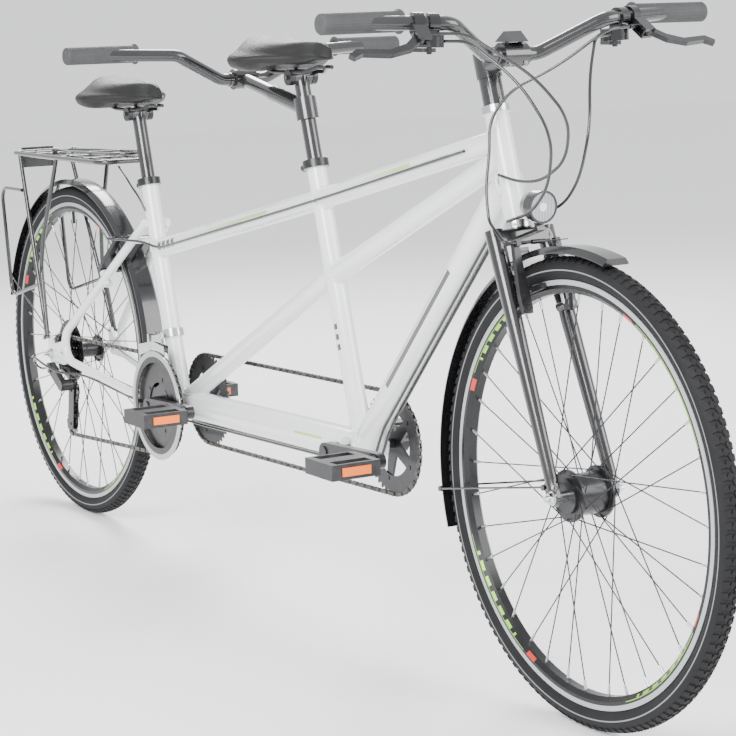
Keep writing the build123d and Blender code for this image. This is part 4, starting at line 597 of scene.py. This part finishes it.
def chain_mesh(name, circles, line_y):
    way = chain_way(circles)
    total = sum(row[0] for row in way)
    count = 2 * round(total / half_inch / 2)
    step = total / count
    bm = bmesh.new()
    for i in range(count):
        here, there = on_way(way, step * i), on_way(way, step * ((i + 1) % count))
        middle = Vector(((here[0] + there[0]) / 2, line_y, (here[1] + there[1]) / 2))
        ahead = Vector((there[0] - here[0], 0, there[1] - here[1])).normalized()
        frame_of = Matrix((ahead, ahead.cross(side_way) * -1, -side_way)).transposed().to_4x4()
        place = Matrix.Translation(middle) @ frame_of
        reach = 0.0026 if i % 2 else 0.0015
        for side in (1, -1):
            link_plate(bm, place, side * reach)
        pin = (Matrix.Translation((here[0], line_y, here[1])) @ Matrix.Rotation(pi / 2, 4, "X"))
        bmesh.ops.create_cone(bm, cap_ends=True, segments=10, radius1=0.0018, radius2=0.0018,
                              depth=0.0066, matrix=pin)
        bmesh.ops.create_cone(bm, cap_ends=True, segments=12, radius1=roller_r,
                              radius2=roller_r, depth=0.0022, matrix=pin)
    bmesh.ops.recalc_face_normals(bm, faces=bm.faces)
    return into_mesh(bm, name)


upper_jockey = Vector(joint["upper_jockey_spin"]["pos_m"])
lower_jockey = Vector(joint["lower_jockey_spin"]["pos_m"])
rear_axle = wheel_turns["rear"]
jockey_r = pitch_radius(11)
drive_circles = [(stoker_crank.x, stoker_crank.z, pitch_radius(48)),
                 (rear_axle.x, rear_axle.z, pitch_radius(18)),
                 (upper_jockey.x, upper_jockey.z, -jockey_r),
                 (lower_jockey.x, lower_jockey.z, jockey_r)]
timing_circles = [(crank.x, crank.z, pitch_radius(44)) for crank in (captain_crank, stoker_crank)]
linked("drive_chain_links", chain_mesh("drive_chain_links", drive_circles, -0.051), "frame",
       oiled, "dark_steel", "drive_chain")
linked("timing_chain_links", chain_mesh("timing_chain_links", timing_circles, 0.056), "frame",
       oiled, "dark_steel", "timing_chain")

# ---- saddles -----------------------------------------------------------------------
# A moulded shell with foam under stretched black vinyl: a deep, broad, crowned tail whose
# underside rises to a thinner nose, with a sewn line along each side and a centre dip.
vinyl = Finish("saddle_vinyl", (0.010, 0.010, 0.010), (0.019, 0.019, 0.020), 0.46, 0.60, 2600.0,
               0.00022, rub=(18.0, 0.4), shine=0.3)


def smooth_between(value, low, high):
    share = min(max((value - low) / (high - low), 0.0), 1.0)
    return share * share * (3 - 2 * share)


def half_width(share):
    """Half the saddle's width, as a share of the widest, from tail 0 to nose 1."""
    tail = smooth_between(share, -0.10, 0.24)
    neck = 1 - smooth_between(share, 0.30, 0.72)
    tip = (max(1 - share, 0.0) / 0.12) ** 0.5 if share > 0.88 else 1.0
    return (0.52 + 0.48 * tail) * (0.20 + 0.80 * neck) * tip


def saddle_mesh(name, node):
    low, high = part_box(node)
    size = high - low
    bm = bmesh.new()
    bmesh.ops.create_cube(bm, size=1.0)
    along_edges = [e for e in bm.edges if abs(e.verts[0].co.x - e.verts[1].co.x) > 0.5]
    bmesh.ops.subdivide_edges(bm, edges=along_edges, cuts=22, use_grid_fill=True)
    across_edges = [e for e in bm.edges if abs(e.verts[0].co.y - e.verts[1].co.y) > 0.5]
    bmesh.ops.subdivide_edges(bm, edges=across_edges, cuts=11, use_grid_fill=True)
    tall_edges = [e for e in bm.edges if abs(e.verts[0].co.z - e.verts[1].co.z) > 0.5]
    bmesh.ops.subdivide_edges(bm, edges=tall_edges, cuts=6, use_grid_fill=True)
    for v in bm.verts:
        share, across, rise = v.co.x + 0.5, v.co.y * 2, v.co.z + 0.5
        wide = half_width(min(max(share, 0.0), 1.0)) * size.y / 2
        skirt = 1 - 0.10 * (1 - smooth_between(rise, 0.0, 0.45))
        seam = 0.965 if abs(rise - 0.43) < 0.08 and abs(across) > 0.95 else 1.0
        edge = 1 - 0.20 * abs(2 * rise - 1) ** 3
        y = across * wide * skirt * seam * edge
        crown = 1 - 0.42 * abs(across) ** 2.6
        dip = 0.07 * (1 - smooth_between(abs(across), 0.0, 0.30)) * smooth_between(share, 0.10, 0.4)
        sweep = 0.84 + 0.16 * (1 - smooth_between(share, 0.05, 0.55))
        top = (crown - dip) * sweep - 0.16 * smooth_between(share, 0.88, 1.0)
        under = (0.175 * smooth_between(share, 0.34, 0.46)
                 + 0.14 * smooth_between(share, 0.66, 0.96))
        z = under + rise * max(top - under, 0.05)
        rounding = 1 - 0.05 * abs(2 * rise - 1) ** 2
        x = (share - 0.5) * rounding + 0.5
        v.co = (low.x + x * size.x, y + (low.y + high.y) / 2, low.z + z * size.z)
    bmesh.ops.smooth_vert(bm, verts=bm.verts, factor=0.35, use_axis_x=True, use_axis_y=True,
                          use_axis_z=True)
    bmesh.ops.recalc_face_normals(bm, faces=bm.faces)
    for face in bm.faces:
        face.smooth = True
    return into_mesh(bm, name)


for who in ("captain", "stoker"):
    name = who + "_saddle_cover"
    seat = linked(name, saddle_mesh(name, who + "_saddle"), who + "_seat", vinyl, "saddle_cover",
                  who + "_saddle")
    rounder = seat.modifiers.new("rounder", "SUBSURF")
    rounder.levels = rounder.render_levels = 2

# ---- grips -------------------------------------------------------------------------
# Dark rubber sleeves pushed onto the bar ends, each with a flange at both ends, fine
# lengthwise ribs between them and a closed end.
grip_rubber = Finish("grip_rubber", (0.040, 0.041, 0.043), (0.075, 0.075, 0.078), 0.66, 0.80,
                     1800.0, 0.00018, rub=(40.0, 0.4))
grip_ribs = 24
rib_high = 0.0004
ribbed = 0.0152


def ends_of(node, side):
    """The two ends of a straight round piece on one side of the middle plane."""
    skin = [v.co for v in nodes[node].data.vertices if v.co.y * side > 0]
    middle = sum(skin, Vector()) / len(skin)
    low = min(v.y * side for v in skin)
    high = max(v.y * side for v in skin)
    inner = [v for v in skin if v.y * side < low + 0.004]
    outer = [v for v in skin if v.y * side > high - 0.004]
    way = (sum(outer, Vector()) / len(outer) - sum(inner, Vector()) / len(inner)).normalized()
    spans = [(v - middle).dot(way) for v in skin]
    first = [v for v, s in zip(skin, spans) if s < min(spans) + 0.0005]
    last = [v for v, s in zip(skin, spans) if s > max(spans) - 0.0005]
    start, end = sum(first, Vector()) / len(first), sum(last, Vector()) / len(last)
    return start, end


def grip_mesh(name, node, side):
    start, end = ends_of(node, side)
    length = (end - start).length
    points = [(0.0, 0.0113), (0.0, 0.0178), (0.0012, 0.0184), (0.0030, 0.0184), (0.0042, 0.0160)]
    points += [(0.0080, ribbed), (length - 0.0090, ribbed), (length - 0.0060, 0.0157),
               (length - 0.0035, 0.0157), (length - 0.0008, 0.0140), (length, 0.0100),
               (length, 0.0002), (length - 0.0030, 0.0002), (length - 0.0030, 0.0113)]
    bm = bmesh.new()
    corners = [bm.verts.new((x, 0, r)) for x, r in points]
    edges = [bm.edges.new((corners[i], corners[(i + 1) % len(corners)]))
             for i in range(len(corners))]
    bmesh.ops.spin(bm, geom=corners + edges, cent=(0, 0, 0), axis=(1, 0, 0), angle=2 * pi,
                   steps=4 * grip_ribs, use_merge=True)
    bmesh.ops.recalc_face_normals(bm, faces=bm.faces)
    for v in bm.verts:
        flat = hypot(v.co.y, v.co.z)
        if abs(flat - ribbed) < 0.00005:
            grown = 1 + rib_high / flat * cos(grip_ribs * atan2(v.co.z, v.co.y))
            v.co = (v.co.x, v.co.y * grown, v.co.z * grown)
    way = (end - start).normalized()
    turn_to = Vector((1, 0, 0)).rotation_difference(way).to_matrix().to_4x4()
    bmesh.ops.transform(bm, verts=bm.verts, matrix=Matrix.Translation(start) @ turn_to)
    for face in bm.faces:
        face.smooth = True
    return into_mesh(bm, name)


for node, body in (("handlebar_grips", "steering"), ("stoker_grips", "captain_post")):
    for side, word in ((1, "left"), (-1, "right")):
        name = f"{node}_{word}"
        linked(name, grip_mesh(name, node, side), body, grip_rubber, "grip_rubber", node)

# ---- bars, posts, stem, fork and rack ----------------------------------------------
# Butted alloy bars, posts, stem and fork in black gloss paint, and a bent-rod rack and its
# clip in the same paint.
black_gloss = Finish("black_paint", (0.011, 0.011, 0.012), (0.024, 0.024, 0.026), 0.20, 0.34,
                     900.0, 0.00003, rub=(9.0, 0.5), coat=0.8)
black_gloss.cover("fork", "handlebar", "stoker_bar", "captain_seatpost", "stoker_seatpost",
                  "stem", "luggage_rack", "rack_clip")

# ---- mudguards and pedals ----------------------------------------------------------
# Moulded glossy black plastic; the guards hang on thin wire stays and the pedals carry an orange
# prism reflector at each end.
plastic = Finish("black_plastic", (0.006, 0.006, 0.007), (0.013, 0.013, 0.014), 0.16, 0.28, 1100.0,
                 0.00004, rub=(20.0, 0.4), coat=0.5)
plastic.cover("front_mudguard", "rear_mudguard", "upper_pulley", "lower_pulley",
              "control_brackets")
pedal_plastic = Finish("pedal_plastic", (0.020, 0.020, 0.022), (0.06, 0.06, 0.06), 0.44, 0.6,
                       900.0, 0.00025, rub=(60.0, 0.6))
for name in ("captain_left", "captain_right", "stoker_left", "stoker_right"):
    body = Vector(joint[name + "_pedal_spin"]["pos_m"])
    for side in (1, -1):
        face = pedal_plastic.within(pedal_plastic.along(body + Vector((side * 0.0457, 0, 0)),
                                                        (1, 0, 0)), -0.0016, 0.0016)
        tall = pedal_plastic.within(pedal_plastic.along(body, (0, 0, 1)), -0.0071, 0.0071)
        wide = pedal_plastic.within(pedal_plastic.along(Vector((0, body.y, 0)), (0, 1, 0)),
                                    -0.027, 0.027)
        pedal_plastic.over(pedal_plastic.both(face, tall, wide), (0.95, 0.19, 0.01), 0.18)
pedal_plastic.cover("captain_pedal_left", "captain_pedal_right", "stoker_pedal_left",
                    "stoker_pedal_right")
red_lens = Finish("red_lens", (0.48, 0.008, 0.006), (0.36, 0.006, 0.004), 0.12, 0.2, 900.0,
                  0.0006, coat=1.0)
red_lens.cover("rear_reflector")

# ---- levers, lamp and cables -------------------------------------------------------
# Black anodised levers, a round black headlamp with a clear faceted lens,
# and black plastic housing on every cable.
lever_metal = Finish("lever_alloy", (0.018, 0.018, 0.020), (0.05, 0.05, 0.052), 0.20, 0.34, 700.0,
                     0.00003, rub=(40.0, 0.5), metal=0.6, coat=0.4)
lever_metal.cover("brake_lever_left", "brake_lever_right")
black_gloss.cover("shift_lever_left", "shift_lever_right")
lamp_look = Finish("headlamp", (0.014, 0.014, 0.015), (0.03, 0.03, 0.03), 0.25, 0.4, 900.0,
                   0.00005, coat=0.5)
lamp_facing = Vector((1, 0, -0.06)).normalized()
lamp_middle = steer_foot + steer_up * 0.433 + Vector((steer_up.z, 0, -steer_up.x)) * 0.056
front_side = lamp_look.within(lamp_look.along(lamp_middle, lamp_facing), 0.0172, 0.0215)
lamp_up = side_way.cross(lamp_facing) * -1
lamp_y = lamp_look.along(lamp_middle, (0, 1, 0))
lamp_z = lamp_look.along(lamp_middle, lamp_up)
lamp_far = lamp_look.math("SQRT", lamp_look.math("ADD", lamp_look.math("MULTIPLY", lamp_y, lamp_y),
                                                 lamp_look.math("MULTIPLY", lamp_z, lamp_z)), 0.0)
clear_part = lamp_look.both(front_side, lamp_look.within(lamp_far, -1.0, 0.0218))
lamp_look.over(clear_part, (0.30, 0.32, 0.34), 0.05)
facet = lamp_look.both(clear_part, lamp_look.within(
    lamp_look.math("FRACT", lamp_look.math("MULTIPLY", lamp_y, 180.0), 0.0), 0.0, 0.22))
lamp_look.over(facet, (0.46, 0.48, 0.50), 0.10)
lamp_look.over(lamp_look.both(front_side, lamp_look.within(lamp_far, -1.0, 0.0065)),
               (0.85, 0.84, 0.76), 0.05)
lamp_look.cover("headlamp")
housing = Finish("cable_housing", (0.010, 0.010, 0.011), (0.02, 0.02, 0.02), 0.22, 0.32, 700.0,
                 0.00003, coat=0.6)
housing.cover("frame_cables", "steering_cables")
